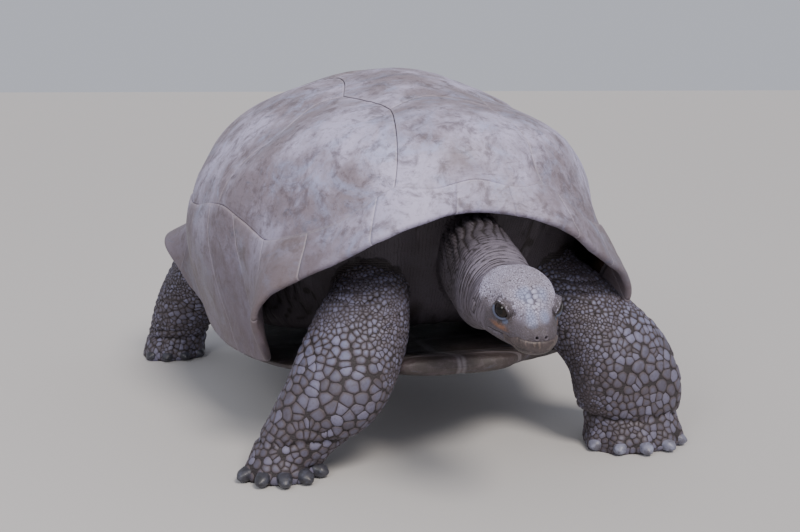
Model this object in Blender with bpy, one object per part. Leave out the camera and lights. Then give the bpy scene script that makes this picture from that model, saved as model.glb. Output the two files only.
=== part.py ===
"""Giant tortoise, life size, standing with its head low.

The animal faces -Y, its left side is +X and the soles stand on z = 0.
Every part is a closed solid; neighbours keep a gap of 0.3 mm.
"""
import math

import bmesh
import bpy
import numpy as np
from mathutils import Matrix, Vector

GAP = 0.0003              # clearance between neighbouring parts
GROWTH = 1.4              # how far a cutter grows, in gaps, so that its corners clear too

# ---- carapace: ovals round the dome, from the crown down to the flank ----
# half width, reach forward, reach back, squareness, height at front, side
# and rear, and how much narrower the oval is in front than behind
APEX_HEIGHT = 0.669
CROWN = (0.219, 0.234, 0.290, 2.02, 0.628, 0.605, 0.621, 0.22)
SHOULDER = (0.340, 0.429, 0.450, 2.15, 0.579, 0.498, 0.527, 0.13)
FLANK = (0.400, 0.499, 0.494, 2.00, 0.516, 0.346, 0.403, 0.11)
# the free edge: direction in degrees from straight ahead, then x, y, z
RIM = (
    (0, 0.000, -0.515, 0.445),       # over the neck
    (11, 0.100, -0.532, 0.431),
    (18, 0.165, -0.520, 0.406),
    (25, 0.220, -0.483, 0.369),
    (33, 0.275, -0.440, 0.336),
    (40, 0.322, -0.405, 0.303),
    (47, 0.342, -0.378, 0.256),      # flared front corner
    (54, 0.322, -0.345, 0.196),
    (62, 0.306, -0.290, 0.160),      # behind the front leg
    (78, 0.345, -0.140, 0.152),      # bridge
    (95, 0.362, 0.020, 0.155),
    (112, 0.368, 0.190, 0.172),
    (121, 0.402, 0.285, 0.220),      # ahead of the hind leg
    (128, 0.435, 0.345, 0.282),      # flared rear corner
    (137, 0.412, 0.412, 0.304),
    (150, 0.312, 0.495, 0.300),
    (165, 0.160, 0.540, 0.280),
    (180, 0.000, 0.553, 0.262),      # over the tail
)
RIB_LEVELS = (0.0, 0.30, 0.56, 0.80, 1.0)       # apex, crown, shoulder, flank, rim
RIBS = 44
SHELL_STEPS = (0.0, 0.12, 0.25, 0.38, 0.52, 0.66, 0.78, 0.87, 0.94, 1.0)
SHELL_THICKNESS = 0.014
TRUNK_DEPTH = SHELL_THICKNESS + 2 * GAP         # the trunk's top, below the shell's outside

# ---- trunk: fills the shell, walled off behind the neck and the legs ----
TRUNK_STEPS = SHELL_STEPS[:7]
TRUNK_WALLS = (
    (0.366, 0.430, 0.450, 2.1, 0.420, 0.310, 0.350, 0.05),
    (0.346, 0.360, 0.400, 2.1, 0.290, 0.215, 0.250, 0.05),
    (0.300, 0.290, 0.330, 2.2, 0.165, 0.165, 0.170, 0.00),
)

# ---- plastron: y, half width, underside, top ----
PLASTRON = (
    (-0.440, 0.050, 0.163, 0.184),
    (-0.425, 0.092, 0.158, 0.188),
    (-0.370, 0.140, 0.150, 0.180),
    (-0.300, 0.225, 0.140, 0.164),
    (-0.250, 0.272, 0.136, 0.158),
    (-0.130, 0.322, 0.132, 0.156),
    (0.000, 0.334, 0.130, 0.156),
    (0.130, 0.330, 0.132, 0.157),
    (0.230, 0.285, 0.136, 0.160),
    (0.310, 0.195, 0.142, 0.165),
    (0.380, 0.130, 0.150, 0.168),
    (0.410, 0.070, 0.156, 0.170),
)

# ---- limbs and neck: x, y, z, half breadth, half depth, turn in degrees ----
FRONT_RIGHT = (
    (-0.108, -0.285, 0.318, 0.038, 0.042, 0),
    (-0.122, -0.325, 0.285, 0.067, 0.067, -8),
    (-0.150, -0.365, 0.235, 0.082, 0.074, -15),
    (-0.195, -0.400, 0.155, 0.088, 0.064, -28),
    (-0.251, -0.394, 0.085, 0.068, 0.060, -25),
    (-0.287, -0.388, 0.040, 0.055, 0.059, -20),
    (-0.294, -0.385, -0.010, 0.067, 0.072, -20),
)
FRONT_LEFT = (
    (0.200, -0.240, 0.300, 0.070, 0.070, 0),
    (0.248, -0.315, 0.245, 0.080, 0.072, 10),
    (0.306, -0.368, 0.175, 0.096, 0.066, 10),
    (0.335, -0.387, 0.100, 0.102, 0.064, 5),
    (0.342, -0.390, 0.045, 0.087, 0.064, 0),
    (0.340, -0.392, -0.010, 0.090, 0.074, 0),
)
HIND_RIGHT = (
    (-0.265, 0.300, 0.300, 0.080, 0.080, 0),
    (-0.320, 0.370, 0.235, 0.080, 0.080, 0),
    (-0.375, 0.430, 0.140, 0.072, 0.075, 0),
    (-0.403, 0.468, 0.050, 0.068, 0.072, 0),
    (-0.412, 0.472, -0.010, 0.076, 0.082, 0),
)
HIND_LEFT = (
    (0.250, 0.240, 0.300, 0.080, 0.080, 0),
    (0.300, 0.290, 0.235, 0.080, 0.080, 0),
    (0.335, 0.320, 0.140, 0.072, 0.075, 0),
    (0.350, 0.335, 0.050, 0.068, 0.072, 0),
    (0.355, 0.335, -0.010, 0.076, 0.082, 0),
)
NECK = (
    (0.042, -0.240, 0.350, 0.062, 0.085, 0),
    (0.033, -0.360, 0.355, 0.057, 0.085, 0),
    (0.014, -0.470, 0.352, 0.056, 0.082, 0),
    (0.008, -0.560, 0.333, 0.058, 0.075, 0),
    (0.008, -0.630, 0.322, 0.056, 0.062, 0),
)
TAIL = (
    (0.000, 0.300, 0.250, 0.060, 0.055, 0),
    (0.005, 0.400, 0.235, 0.052, 0.048, 0),
    (0.012, 0.480, 0.205, 0.040, 0.036, 0),
    (0.022, 0.535, 0.155, 0.026, 0.023, 0),
    (0.030, 0.555, 0.110, 0.010, 0.009, 0),
)
WRIST_HEIGHT = 0.060
ANKLE_HEIGHT = 0.055
LIMB_RINGS = 10
TAIL_RINGS = 9
LIMB_SIDES = 16
FLESH_SQUARENESS = 2.2    # 2 is an ellipse

# ---- head: distance ahead of the eyes, half width, top, underside ----
HEAD_PLACE = (0.009, -0.700, 0.331)             # midway between the eyes
HEAD_DOWN = math.radians(17)
HEAD = (
    (-0.100, 0.052, 0.014, -0.080),
    (-0.075, 0.058, 0.030, -0.078),
    (-0.045, 0.061, 0.037, -0.072),
    (-0.015, 0.056, 0.036, -0.066),
    (0.010, 0.046, 0.031, -0.062),
    (0.030, 0.037, 0.020, -0.057),
    (0.045, 0.030, 0.007, -0.052),
    (0.056, 0.023, -0.003, -0.047),
    (0.064, 0.012, -0.014, -0.040),
)
HEAD_RINGS = 13
HEAD_SIDES = 18
MOUTH_HEIGHT = -0.036                           # lip line at the beak's tip
MOUTH_CORNER = 0.002                            # how far back the mouth runs
BEAK_START = 0.030
EYE_OUT = 0.0355
EYE_AHEAD = 0.007
EYE_UP = 0.000
EYE_RADIUS = 0.0150

# ---- claws: breadth, thickness and length ----
FRONT_CLAW = (0.0140, 0.0120, 0.040)
HIND_CLAW = (0.0150, 0.0120, 0.036)
FRONT_CLAW_ANGLES = (-70, -37, -5, 27, 60)
HIND_CLAW_ANGLES = (-48, -16, 16, 48)
CLAW_REACH = 0.80         # where a claw's root sits, from the sole's middle to its edge
CLAW_LIFT = 1.25          # height of the root, in claw thicknesses
CLAW_CLEARANCE = 0.0008   # under the claws, so that the soles alone carry the body

COLOURS = {
    "shell": (0.235, 0.205, 0.195),
    "belly": (0.140, 0.115, 0.100),
    "skin": (0.120, 0.108, 0.102),
    "horn": (0.085, 0.080, 0.082),
    "eye": (0.010, 0.008, 0.008),
}
ROUGHNESS = {"shell": 0.5, "belly": 0.6, "skin": 0.7, "horn": 0.4, "eye": 0.08}


def material(kind, name):
    """One Principled material in the colour of this kind of tissue."""
    made = bpy.data.materials.new(name)
    made.use_nodes = True
    shader = made.node_tree.nodes["Principled BSDF"]
    shader.inputs["Base Color"].default_value = (*COLOURS[kind], 1.0)
    shader.inputs["Roughness"].default_value = ROUGHNESS[kind]
    return made


def add_object(name, mesh, kind):
    """Put a mesh in the scene as one part, parented to the body's frame."""
    obj = bpy.data.objects.new(name, mesh)
    bpy.context.collection.objects.link(obj)
    mesh.materials.append(material(kind, name + "_material"))
    mesh.shade_smooth()
    mesh.set_sharp_from_angle(angle=math.radians(50))
    obj.parent = frame
    return obj


def ring_solid(name, rings, hubs=(None, None)):
    """Closed mesh through rings of points, each end a fan round its hub."""
    count, sides = rings.shape[:2]
    points = rings.reshape(-1, 3).tolist()
    faces = []
    for i in range(count - 1):
        for j in range(sides):
            k = (j + 1) % sides
            faces.append((i * sides + j, i * sides + k, (i + 1) * sides + k, (i + 1) * sides + j))
    for i, place in zip((0, count - 1), hubs):
        points.append(list(place or rings[i].mean(axis=0).tolist()))
        hub = len(points) - 1
        for j in range(sides):
            a, b = i * sides + j, i * sides + (j + 1) % sides
            faces.append((hub, b, a) if i == 0 else (hub, a, b))
    mesh = bpy.data.meshes.new(name)
    mesh.from_pydata(points, [], faces)
    face_outward(mesh)
    return mesh


def face_outward(mesh):
    """Triangles only, each one turned to the outside of a closed mesh."""
    work = bmesh.new()
    work.from_mesh(mesh)
    bmesh.ops.remove_doubles(work, verts=work.verts, dist=1e-6)
    bmesh.ops.triangulate(work, faces=work.faces)
    bmesh.ops.recalc_face_normals(work, faces=work.faces)
    if work.calc_volume(signed=True) < 0:
        bmesh.ops.reverse_faces(work, faces=work.faces)
    work.to_mesh(mesh)
    work.free()


def half(mesh, point, normal):
    """The part of a closed mesh behind a plane, its cut face filled."""
    work = bmesh.new()
    work.from_mesh(mesh)
    every = work.verts[:] + work.edges[:] + work.faces[:]
    cut = bmesh.ops.bisect_plane(work, geom=every, plane_co=point, plane_no=normal, clear_outer=True)
    edges = [e for e in cut["geom_cut"] if isinstance(e, bmesh.types.BMEdge)]
    bmesh.ops.holes_fill(work, edges=edges, sides=0)
    made = bpy.data.meshes.new(mesh.name)
    work.to_mesh(made)
    work.free()
    face_outward(made)
    return made


def split(mesh, point, normal):
    """Both sides of a plane, with the gap between them."""
    point, normal = Vector(point), Vector(normal).normalized()
    behind = half(mesh, point - normal * GAP / 2, normal)
    ahead = half(mesh, point + normal * GAP / 2, -normal)
    return behind, ahead


def cut_away(target, others):
    """Take each other part, grown by the gap, out of the target."""
    for other in others:
        name = "cutter_" + other.name
        cutter = bpy.data.objects.get(name) or grown_copy(other, name)
        step = target.modifiers.new("clear_of_" + other.name, "BOOLEAN")
        step.operation = "DIFFERENCE"
        step.solver = "EXACT"
        step.object = cutter


def grown_copy(obj, name):
    """A hidden copy of a part, pushed out by the gap along its normals."""
    mesh = obj.data.copy()
    normals = [v.normal.copy() for v in mesh.vertices]
    for vertex, normal in zip(mesh.vertices, normals):
        vertex.co += normal * GAP * GROWTH
    cutter = bpy.data.objects.new(name, mesh)
    bpy.context.collection.objects.link(cutter)
    cutter.parent = frame
    cutter.hide_render = True
    cutter.display_type = "WIRE"
    return cutter


def through(rows, count):
    """Catmull-Rom curve through rows of numbers, at an even count of steps."""
    rows = np.asarray(rows, float)
    at = np.linspace(0, len(rows) - 1, count)
    i = np.clip(at.astype(int), 0, len(rows) - 2)
    t = (at - i)[:, None]
    ext = np.vstack([2 * rows[0] - rows[1], rows, 2 * rows[-1] - rows[-2]])
    a, b, c, d = ext[i], ext[i + 1], ext[i + 2], ext[i + 3]
    cubic = (3 * b - a - 3 * c + d) * t ** 3
    return 0.5 * (2 * b + (c - a) * t + (2 * a - 5 * b + 4 * c - d) * t * t + cubic)


def rounded(angle, squareness):
    """Distance to a unit superellipse in each direction."""
    c, s = np.abs(np.cos(angle)), np.abs(np.sin(angle))
    return (c ** squareness + s ** squareness) ** (-1 / squareness)


def limb_rings(rows, count=LIMB_RINGS):
    """Rings square to the limb's path, as broad and deep as its rows say."""
    table = through(rows, count)
    centre = table[:, :3]
    along = np.gradient(centre, axis=0)
    along /= np.linalg.norm(along, axis=1)[:, None]
    turn = np.radians(table[:, 5])
    across = np.stack([np.cos(turn), np.sin(turn), 0 * turn], -1)
    across -= along * (across * along).sum(1)[:, None]
    across /= np.linalg.norm(across, axis=1)[:, None]
    deep = np.cross(along, across)
    angle = np.linspace(0, 2 * np.pi, LIMB_SIDES, endpoint=False)
    size = rounded(angle, FLESH_SQUARENESS)
    wide = table[:, 3, None] * np.cos(angle) * size
    thick = table[:, 4, None] * np.sin(angle) * size
    return centre[:, None] + across[:, None] * wide[..., None] + deep[:, None] * thick[..., None]


def mirrored_cubic(at, keys, values, odd=False):
    """Cubic through the keys whose ends continue as mirror images."""
    keys = np.asarray(keys, float)
    values = np.asarray(values, float)
    sign = -1.0 if odd else 1.0
    x = np.r_[2 * keys[0] - keys[1], keys, 2 * keys[-1] - keys[-2]]
    y = np.r_[sign * values[1], values, sign * values[-2]]
    slope = (y[2:] - y[:-2]) / (x[2:] - x[:-2])
    i = np.clip(np.searchsorted(keys, at, side="right") - 1, 0, len(keys) - 2)
    h = keys[i + 1] - keys[i]
    t = (at - keys[i]) / h
    first = (1 + 2 * t) * (1 - t) ** 2 * values[i] + t * (1 - t) ** 2 * h * slope[i]
    return first + t * t * (3 - 2 * t) * values[i + 1] + t * t * (t - 1) * h * slope[i + 1]


def oval(row, degrees):
    """Points of one oval round the body, in each direction from the front."""
    wide, front, rear, square, z_front, z_side, z_rear, egg = row
    angle = np.radians(degrees)
    c, s = np.cos(angle), np.sin(angle)
    reach = np.where(c > 0, front, rear)
    r = ((np.abs(s) / wide) ** square + (np.abs(c) / reach) ** square) ** (-1 / square)
    z = z_side + (np.where(c > 0, z_front, z_rear) - z_side) * c * c
    return np.stack([r * s * (1 - egg * c), -r * c, z], -1)


def rim(degrees):
    """Points of the shell's free edge, in each direction from the front."""
    keys, x, y, z = np.array(RIM, float).T
    fold = np.abs(degrees)
    side = np.where(degrees < 0, -1.0, 1.0)
    px = mirrored_cubic(fold, keys, x, odd=True) * side
    return np.stack([px, mirrored_cubic(fold, keys, y), mirrored_cubic(fold, keys, z)], -1)


def rib_points(degrees, steps):
    """Natural cubic ribs from the apex over the ovals to the rim."""
    levels = np.array(RIB_LEVELS)
    apex = np.zeros((len(degrees), 3))
    apex[:, 2] = APEX_HEIGHT
    knots = np.stack([apex] + [oval(row, degrees) for row in (CROWN, SHOULDER, FLANK)] + [rim(degrees)])
    h = np.diff(levels)
    system = np.eye(len(levels))
    load = np.zeros_like(knots)
    for i in range(1, len(levels) - 1):
        system[i, i - 1:i + 2] = h[i - 1], 2 * (h[i - 1] + h[i]), h[i]
        load[i] = 6 * ((knots[i + 1] - knots[i]) / h[i] - (knots[i] - knots[i - 1]) / h[i - 1])
    bend = np.tensordot(np.linalg.inv(system), load, 1)
    system[0, :2] = 2 * h[0], h[0]
    load[0] = 6 * (knots[1] - knots[0]) / h[0]
    bend[..., 2] = np.tensordot(np.linalg.inv(system), load, 1)[..., 2]
    steps = np.asarray(steps, float)
    i = np.clip(np.searchsorted(levels, steps, side="right") - 1, 0, len(levels) - 2)
    t = (steps - levels[i])[:, None, None]
    w = h[i][:, None, None]
    a, b, p, q = knots[i], knots[i + 1], bend[i], bend[i + 1]
    return a + t * ((b - a) / w - w * (2 * p + q) / 6) + t * t * p / 2 + t ** 3 * (q - p) / (6 * w)


def surface_normals(grid):
    """Outward normals of a grid of steps by directions."""
    around = np.roll(grid, -1, axis=1) - np.roll(grid, 1, axis=1)
    down = np.gradient(grid, axis=0)
    normal = np.cross(down, around)
    normal[0] = (0.0, 0.0, 1.0)
    length = np.linalg.norm(normal, axis=2)
    normal /= length[..., None]
    outward = np.sign((normal[3] * grid[3] * (1, 1, 0)).sum(axis=1).mean())
    normal[1:] *= outward
    return normal


def shell_ribs():
    """Directions of the ribs, all the way round."""
    return np.arange(RIBS) * 360.0 / RIBS - 180.0 + 180.0 / RIBS


def make_carapace():
    """The shell's outer face, the inner face one thickness in, and the rim."""
    outer = rib_points(shell_ribs(), SHELL_STEPS)
    inner = outer - surface_normals(outer) * SHELL_THICKNESS
    rings = np.concatenate([outer[1:], inner[:0:-1]])
    hubs = (0.0, 0.0, APEX_HEIGHT), (0.0, 0.0, APEX_HEIGHT - SHELL_THICKNESS)
    mesh = ring_solid("carapace", rings, hubs)
    return add_object("carapace", mesh, "shell")


def make_trunk():
    """The body inside the shell, down to the walls behind neck and legs."""
    degrees = shell_ribs()
    outer = rib_points(degrees, SHELL_STEPS)
    inner = outer - surface_normals(outer) * TRUNK_DEPTH
    rings = [inner[i] for i in range(1, len(TRUNK_STEPS))]
    rings += [oval(row, degrees) for row in TRUNK_WALLS]
    top = (0.0, 0.0, APEX_HEIGHT - TRUNK_DEPTH)
    return add_object("trunk", ring_solid("trunk", np.array(rings), (top, None)), "skin")


def make_plastron():
    """The belly plate: flat below, its sides rising to a thin edge."""
    rows = through(PLASTRON, 19)
    y, wide, low, top = rows.T
    across = np.array([0.0, 0.45, 0.80, 1.0, 0.97, 0.6, 0.0, -0.6, -0.97, -1.0, -0.80, -0.45])
    lift = np.array([0.0, 0.02, 0.15, 0.60, 1.0, 1.0, 1.0, 1.0, 1.0, 0.60, 0.15, 0.02])
    x = wide[:, None] * across
    z = low[:, None] + (top - low)[:, None] * lift
    rings = np.stack([x, y[:, None] + 0 * x, z], -1)
    return add_object("plastron", ring_solid("plastron", rings), "belly")


def make_limb(name, foot_name, rows, height):
    """A leg and its foot, parted by a level cut, the sole flat on the floor."""
    mesh = ring_solid(name, limb_rings(rows))
    mesh = half(mesh, (0, 0, 0), (0, 0, -1))
    foot, leg = split(mesh, (0, 0, height), (0, 0, 1))
    return add_object(name, leg, "skin"), add_object(foot_name, foot, "skin")


def claw_mesh(name, size):
    """A blunt nail along -Y, its root at the origin, curving to the floor."""
    wide, thick, length = size
    along = np.array([0.30, -0.25, -0.78, -1.0]) * length
    scale = np.array([0.88, 1.0, 0.72, 0.18])
    drop = np.array([0.10, -0.04, -0.30, -0.50]) * thick
    angle = np.linspace(0, 2 * np.pi, 6, endpoint=False)
    x = wide * scale[:, None] * np.cos(angle)
    z = drop[:, None] + thick * scale[:, None] * np.sin(angle)
    return ring_solid(name, np.stack([x, along[:, None] + 0 * x, z], -1))


def make_claws(foot, row, size, angles, name):
    """Claws in a fan round the front of a foot, numbered from its right."""
    x, y, _, wide, deep, turn = row
    claws = []
    for number, angle in enumerate(angles, start=1):
        a = math.radians(angle)
        out = Vector((math.sin(a), -math.cos(a), 0))
        root = (x + wide * CLAW_REACH * out.x, y + deep * CLAW_REACH * out.y, size[1] * CLAW_LIFT)
        mesh = claw_mesh(name, size)
        mesh.transform(Matrix.Translation(root) @ Matrix.Rotation(a * 0.8, 4, "Z"))
        face_outward(mesh)
        nail = half(mesh, (0, 0, CLAW_CLEARANCE), (0, 0, -1))
        claws.append(add_object(f"{name}_{number}", nail, "horn"))
    cut_away(foot, claws)
    return claws


def head_matrix():
    """From the head's own frame, eyes at the origin, to the body's frame."""
    return Matrix.Translation(HEAD_PLACE) @ Matrix.Rotation(HEAD_DOWN, 4, "X")


def head_mesh():
    """The whole head as one loft, before the mouth and beak are parted."""
    table = through(HEAD, HEAD_RINGS)
    ahead, wide, top, low = table.T
    angle = np.linspace(0, 2 * np.pi, HEAD_SIDES, endpoint=False)
    size = rounded(angle, FLESH_SQUARENESS)
    middle = (0.45 * top + 0.55 * low)[:, None]
    up = np.sin(angle) * size
    x = wide[:, None] * np.cos(angle) * size
    z = middle + np.where(up > 0, top[:, None] - middle, middle - low[:, None]) * up
    return ring_solid("head", np.stack([x, -ahead[:, None] + 0 * x, z], -1))


def make_head():
    """Head, jaw and the two halves of the beak, parted by thin cuts."""
    whole = head_mesh()
    back, front = split(whole, (0, -MOUTH_CORNER, 0), (0, -1, 0))
    slope = Vector((0, -0.06, -1)).normalized()
    upper, lower = split(front, (0, -HEAD[-1][0], MOUTH_HEIGHT), slope)
    face, upper_beak = split(upper, (0, -BEAK_START, 0), (0, -1, -0.45))
    jaw, lower_beak = split(lower, (0, -BEAK_START, 0), (0, -1, 0))
    pieces = []
    for name, mesh, kind in (("skull", back, "skin"), ("face", face, "skin"), ("jaw", jaw, "skin"),
                             ("upper_beak", upper_beak, "horn"), ("lower_beak", lower_beak, "horn")):
        mesh.transform(head_matrix())
        pieces.append(add_object(name, mesh, kind))
    return pieces


def make_eye(name, side):
    """An eyeball, set in its socket."""
    mesh = bpy.data.meshes.new(name)
    work = bmesh.new()
    bmesh.ops.create_uvsphere(work, u_segments=12, v_segments=7, radius=EYE_RADIUS)
    work.to_mesh(mesh)
    work.free()
    place = head_matrix() @ Matrix.Translation((side * EYE_OUT, -EYE_AHEAD, EYE_UP))
    mesh.transform(place @ Matrix.Rotation(math.pi / 2, 4, "Y"))
    return add_object(name, mesh, "eye")


for leftover in list(bpy.data.objects):
    bpy.data.objects.remove(leftover, do_unlink=True)
frame = bpy.data.objects.new("tortoise", None)
bpy.context.collection.objects.link(frame)

carapace = make_carapace()
plastron = make_plastron()
trunk = make_trunk()
neck = add_object("neck", ring_solid("neck", limb_rings(NECK)), "skin")
tail = add_object("tail", ring_solid("tail", limb_rings(TAIL, TAIL_RINGS)), "skin")
skull, face, jaw, upper_beak, lower_beak = make_head()
eyes = [make_eye("eye_left", 1), make_eye("eye_right", -1)]
cut_away(skull, eyes)
cut_away(face, eyes)
cut_away(neck, [skull])

legs = []
LIMBS = (
    ("front_leg_right", "front_foot_right", FRONT_RIGHT, WRIST_HEIGHT, FRONT_CLAW, FRONT_CLAW_ANGLES),
    ("front_leg_left", "front_foot_left", FRONT_LEFT, WRIST_HEIGHT, FRONT_CLAW, FRONT_CLAW_ANGLES),
    ("hind_leg_right", "hind_foot_right", HIND_RIGHT, ANKLE_HEIGHT, HIND_CLAW, HIND_CLAW_ANGLES),
    ("hind_leg_left", "hind_foot_left", HIND_LEFT, ANKLE_HEIGHT, HIND_CLAW, HIND_CLAW_ANGLES),
)
for leg_name, foot_name, rows, height, claw, angles in LIMBS:
    leg, foot = make_limb(leg_name, foot_name, rows, height)
    make_claws(foot, rows[-1], claw, angles, foot_name.replace("foot", "claw"))
    cut_away(leg, [plastron, carapace])
    legs.append(leg)
cut_away(trunk, [neck, tail, plastron] + legs)

# the frame's origin goes under the middle of the whole animal
corners = np.array([v.co for part in bpy.data.objects if part.data and not part.hide_render
                    for v in part.data.vertices])
middle = (corners.min(axis=0) + corners.max(axis=0)) / 2
frame.location = (-middle[0], -middle[1], 0.0)
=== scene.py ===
"""Giant tortoise, life size, standing with its head low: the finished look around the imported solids.

The animal faces -Y and its left side is +X. Body measures below are in the animal's own frame, whose
origin lies under the crown of its shell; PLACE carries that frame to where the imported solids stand.
"""

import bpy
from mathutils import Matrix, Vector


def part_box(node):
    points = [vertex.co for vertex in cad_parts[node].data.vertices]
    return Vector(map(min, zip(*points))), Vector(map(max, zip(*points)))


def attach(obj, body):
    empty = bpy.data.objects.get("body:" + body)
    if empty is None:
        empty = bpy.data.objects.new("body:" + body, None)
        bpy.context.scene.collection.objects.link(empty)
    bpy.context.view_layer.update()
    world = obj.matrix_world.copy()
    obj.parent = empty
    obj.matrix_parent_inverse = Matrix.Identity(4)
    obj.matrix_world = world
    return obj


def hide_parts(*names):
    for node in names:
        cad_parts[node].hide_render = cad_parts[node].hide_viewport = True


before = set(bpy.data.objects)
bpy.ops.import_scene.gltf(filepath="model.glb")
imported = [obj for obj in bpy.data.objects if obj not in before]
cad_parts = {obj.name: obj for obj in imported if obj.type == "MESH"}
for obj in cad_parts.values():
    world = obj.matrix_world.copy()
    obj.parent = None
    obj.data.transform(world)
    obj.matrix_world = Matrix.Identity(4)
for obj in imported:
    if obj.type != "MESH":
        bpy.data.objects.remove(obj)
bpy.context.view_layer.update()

import math

import bmesh
import bpy
import numpy as np
from mathutils import Matrix, Vector
from mathutils.bvhtree import BVHTree


# ==== carapace: the domed shell ====
# A bony dome covered by horny plates, the scutes: five down the back, four on each side, and a row
# round the edge that wraps under it. Each grew outwards from its middle, which leaves faint rings
# along the seams; in an old animal the rest is worn smooth.
CROWN_HEIGHT = 0.669
# ovals round the dome: half width, reach to front and rear, squareness, height at front, side and rear,
# and how much narrower the front is than the rear
CROWN = (0.219, 0.234, 0.290, 2.02, 0.628, 0.605, 0.621, 0.22)
SHOULDER = (0.340, 0.429, 0.450, 2.15, 0.579, 0.498, 0.527, 0.13)
FLANK = (0.400, 0.499, 0.494, 2.00, 0.516, 0.346, 0.403, 0.11)
RIM = (                      # degrees from the front, then x, y and z of the free edge
    (0, 0.000, -0.515, 0.445), (11, 0.100, -0.532, 0.431), (18, 0.165, -0.520, 0.406),
    (25, 0.220, -0.483, 0.369), (33, 0.275, -0.440, 0.336), (40, 0.322, -0.405, 0.303),
    (47, 0.342, -0.378, 0.256), (54, 0.322, -0.345, 0.196), (62, 0.306, -0.290, 0.160),
    (78, 0.345, -0.140, 0.152), (95, 0.362, 0.020, 0.155), (112, 0.368, 0.190, 0.172),
    (121, 0.402, 0.285, 0.220), (128, 0.435, 0.345, 0.282), (137, 0.412, 0.412, 0.304),
    (150, 0.312, 0.495, 0.300), (165, 0.160, 0.540, 0.280), (180, 0.000, 0.553, 0.262),
)
RIB_LEVELS = np.array([0.0, 0.30, 0.56, 0.80, 1.0])     # crown, then the three ovals, then the rim
EDGE = 0.992                 # step where the outside turns into the rounded lip
LIP = 0.020                  # steps that the lip takes
SHELL_THICKNESS = 0.014


def mirrored_cubic(at, keys, values, odd=False):
    """Cubic through the keys whose ends continue as mirror images."""
    sign = -1.0 if odd else 1.0
    x = np.r_[2 * keys[0] - keys[1], keys, 2 * keys[-1] - keys[-2]]
    y = np.r_[sign * values[1], values, sign * values[-2]]
    slope = (y[2:] - y[:-2]) / (x[2:] - x[:-2])
    i = np.clip(np.searchsorted(keys, at, side="right") - 1, 0, len(keys) - 2)
    h = keys[i + 1] - keys[i]
    t = (at - keys[i]) / h
    first = (1 + 2 * t) * (1 - t) ** 2 * values[i] + t * (1 - t) ** 2 * h * slope[i]
    return first + t * t * (3 - 2 * t) * values[i + 1] + t * t * (t - 1) * h * slope[i + 1]


def oval(row, degrees):
    """A superellipse round the body whose height eases from the front to the side and the rear."""
    wide, front, rear, square, z_front, z_side, z_rear, egg = row
    angle = np.radians(degrees)
    c, s = np.cos(angle), np.sin(angle)
    reach = np.where(c > 0, front, rear)
    r = ((np.abs(s) / wide) ** square + (np.abs(c) / reach) ** square) ** (-1 / square)
    z = z_side + (np.where(c > 0, z_front, z_rear) - z_side) * c * c
    return np.stack([r * s * (1 - egg * c), -r * c, z], -1)


def rim(degrees):
    """The shell's free edge in each direction, by a cubic through its keys."""
    keys, x, y, z = np.array(RIM, float).T
    fold = np.abs(degrees)
    px = mirrored_cubic(fold, keys, x, odd=True) * np.where(degrees < 0, -1.0, 1.0)
    return np.stack([px, mirrored_cubic(fold, keys, y), mirrored_cubic(fold, keys, z)], -1)


def dome(chart):
    """The outside of the shell: natural cubic ribs from the crown through the ovals to the rim.

    A chart point's direction from the middle is the rib's, and its length is the step down the rib.
    """
    steps = np.hypot(chart[:, 0], chart[:, 1])
    degrees = np.degrees(np.arctan2(chart[:, 0], -chart[:, 1]))
    crown = np.zeros((len(chart), 3))
    crown[:, 2] = CROWN_HEIGHT
    knots = np.stack([crown] + [oval(row, degrees) for row in (CROWN, SHOULDER, FLANK)] + [rim(degrees)])
    h = np.diff(RIB_LEVELS)
    system = np.eye(len(RIB_LEVELS))
    load = np.zeros_like(knots)
    for i in range(1, len(RIB_LEVELS) - 1):
        system[i, i - 1:i + 2] = h[i - 1], 2 * (h[i - 1] + h[i]), h[i]
        load[i] = 6 * ((knots[i + 1] - knots[i]) / h[i] - (knots[i] - knots[i - 1]) / h[i - 1])
    bend = np.tensordot(np.linalg.inv(system), load, 1)
    system[0, :2] = 2 * h[0], h[0]
    load[0] = 6 * (knots[1] - knots[0]) / h[0]
    bend[..., 2] = np.tensordot(np.linalg.inv(system), load, 1)[..., 2]
    i = np.clip(np.searchsorted(RIB_LEVELS, steps, side="right") - 1, 0, len(h) - 1)
    n = np.arange(len(steps))
    a, b, p, q = knots[i, n], knots[i + 1, n], bend[i, n], bend[i + 1, n]
    t = (steps - RIB_LEVELS[i])[:, None]
    w = h[i][:, None]
    return a + t * ((b - a) / w - w * (2 * p + q) / 6) + t * t * p / 2 + t ** 3 * (q - p) / (6 * w)


def unit(vectors):
    """Each vector divided by its length."""
    return vectors / np.maximum(np.linalg.norm(vectors, axis=-1, keepdims=True), 1e-12)


def shell_at(chart):
    """Points on the shell and the way out from it: past EDGE they go round the lip and back inside."""
    steps = np.maximum(np.hypot(chart[:, 0], chart[:, 1]), 1e-6)
    heading = chart / steps[:, None]
    under = np.maximum(steps - EDGE - LIP, 0)
    turn = np.clip((steps - EDGE) / LIP, 0, 1) * math.pi
    foot = heading * np.where(under > 0, EDGE - under, np.minimum(steps, EDGE))[:, None]
    nudge = 0.003
    left = (dome(foot + (nudge, 0)) - dome(foot - (nudge, 0))) / (2 * nudge)
    back = (dome(foot + (0, nudge)) - dome(foot - (0, nudge))) / (2 * nudge)
    normal = unit(np.cross(left, back))
    down = left * heading[:, :1] + back * heading[:, 1:]
    down = unit(down - normal * (down * normal).sum(1)[:, None])
    radius = SHELL_THICKNESS / 2
    c, s = np.cos(turn)[:, None], np.sin(turn)[:, None]
    out = normal * c + down * s
    return dome(foot) - normal * radius * (1 - c) + down * radius * s, out


def polar(degrees, steps):
    """Chart points in these directions, this many steps from the middle."""
    angle = np.radians(degrees)
    return np.stack([steps * np.sin(angle), -steps * np.cos(angle)], -1)


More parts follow.
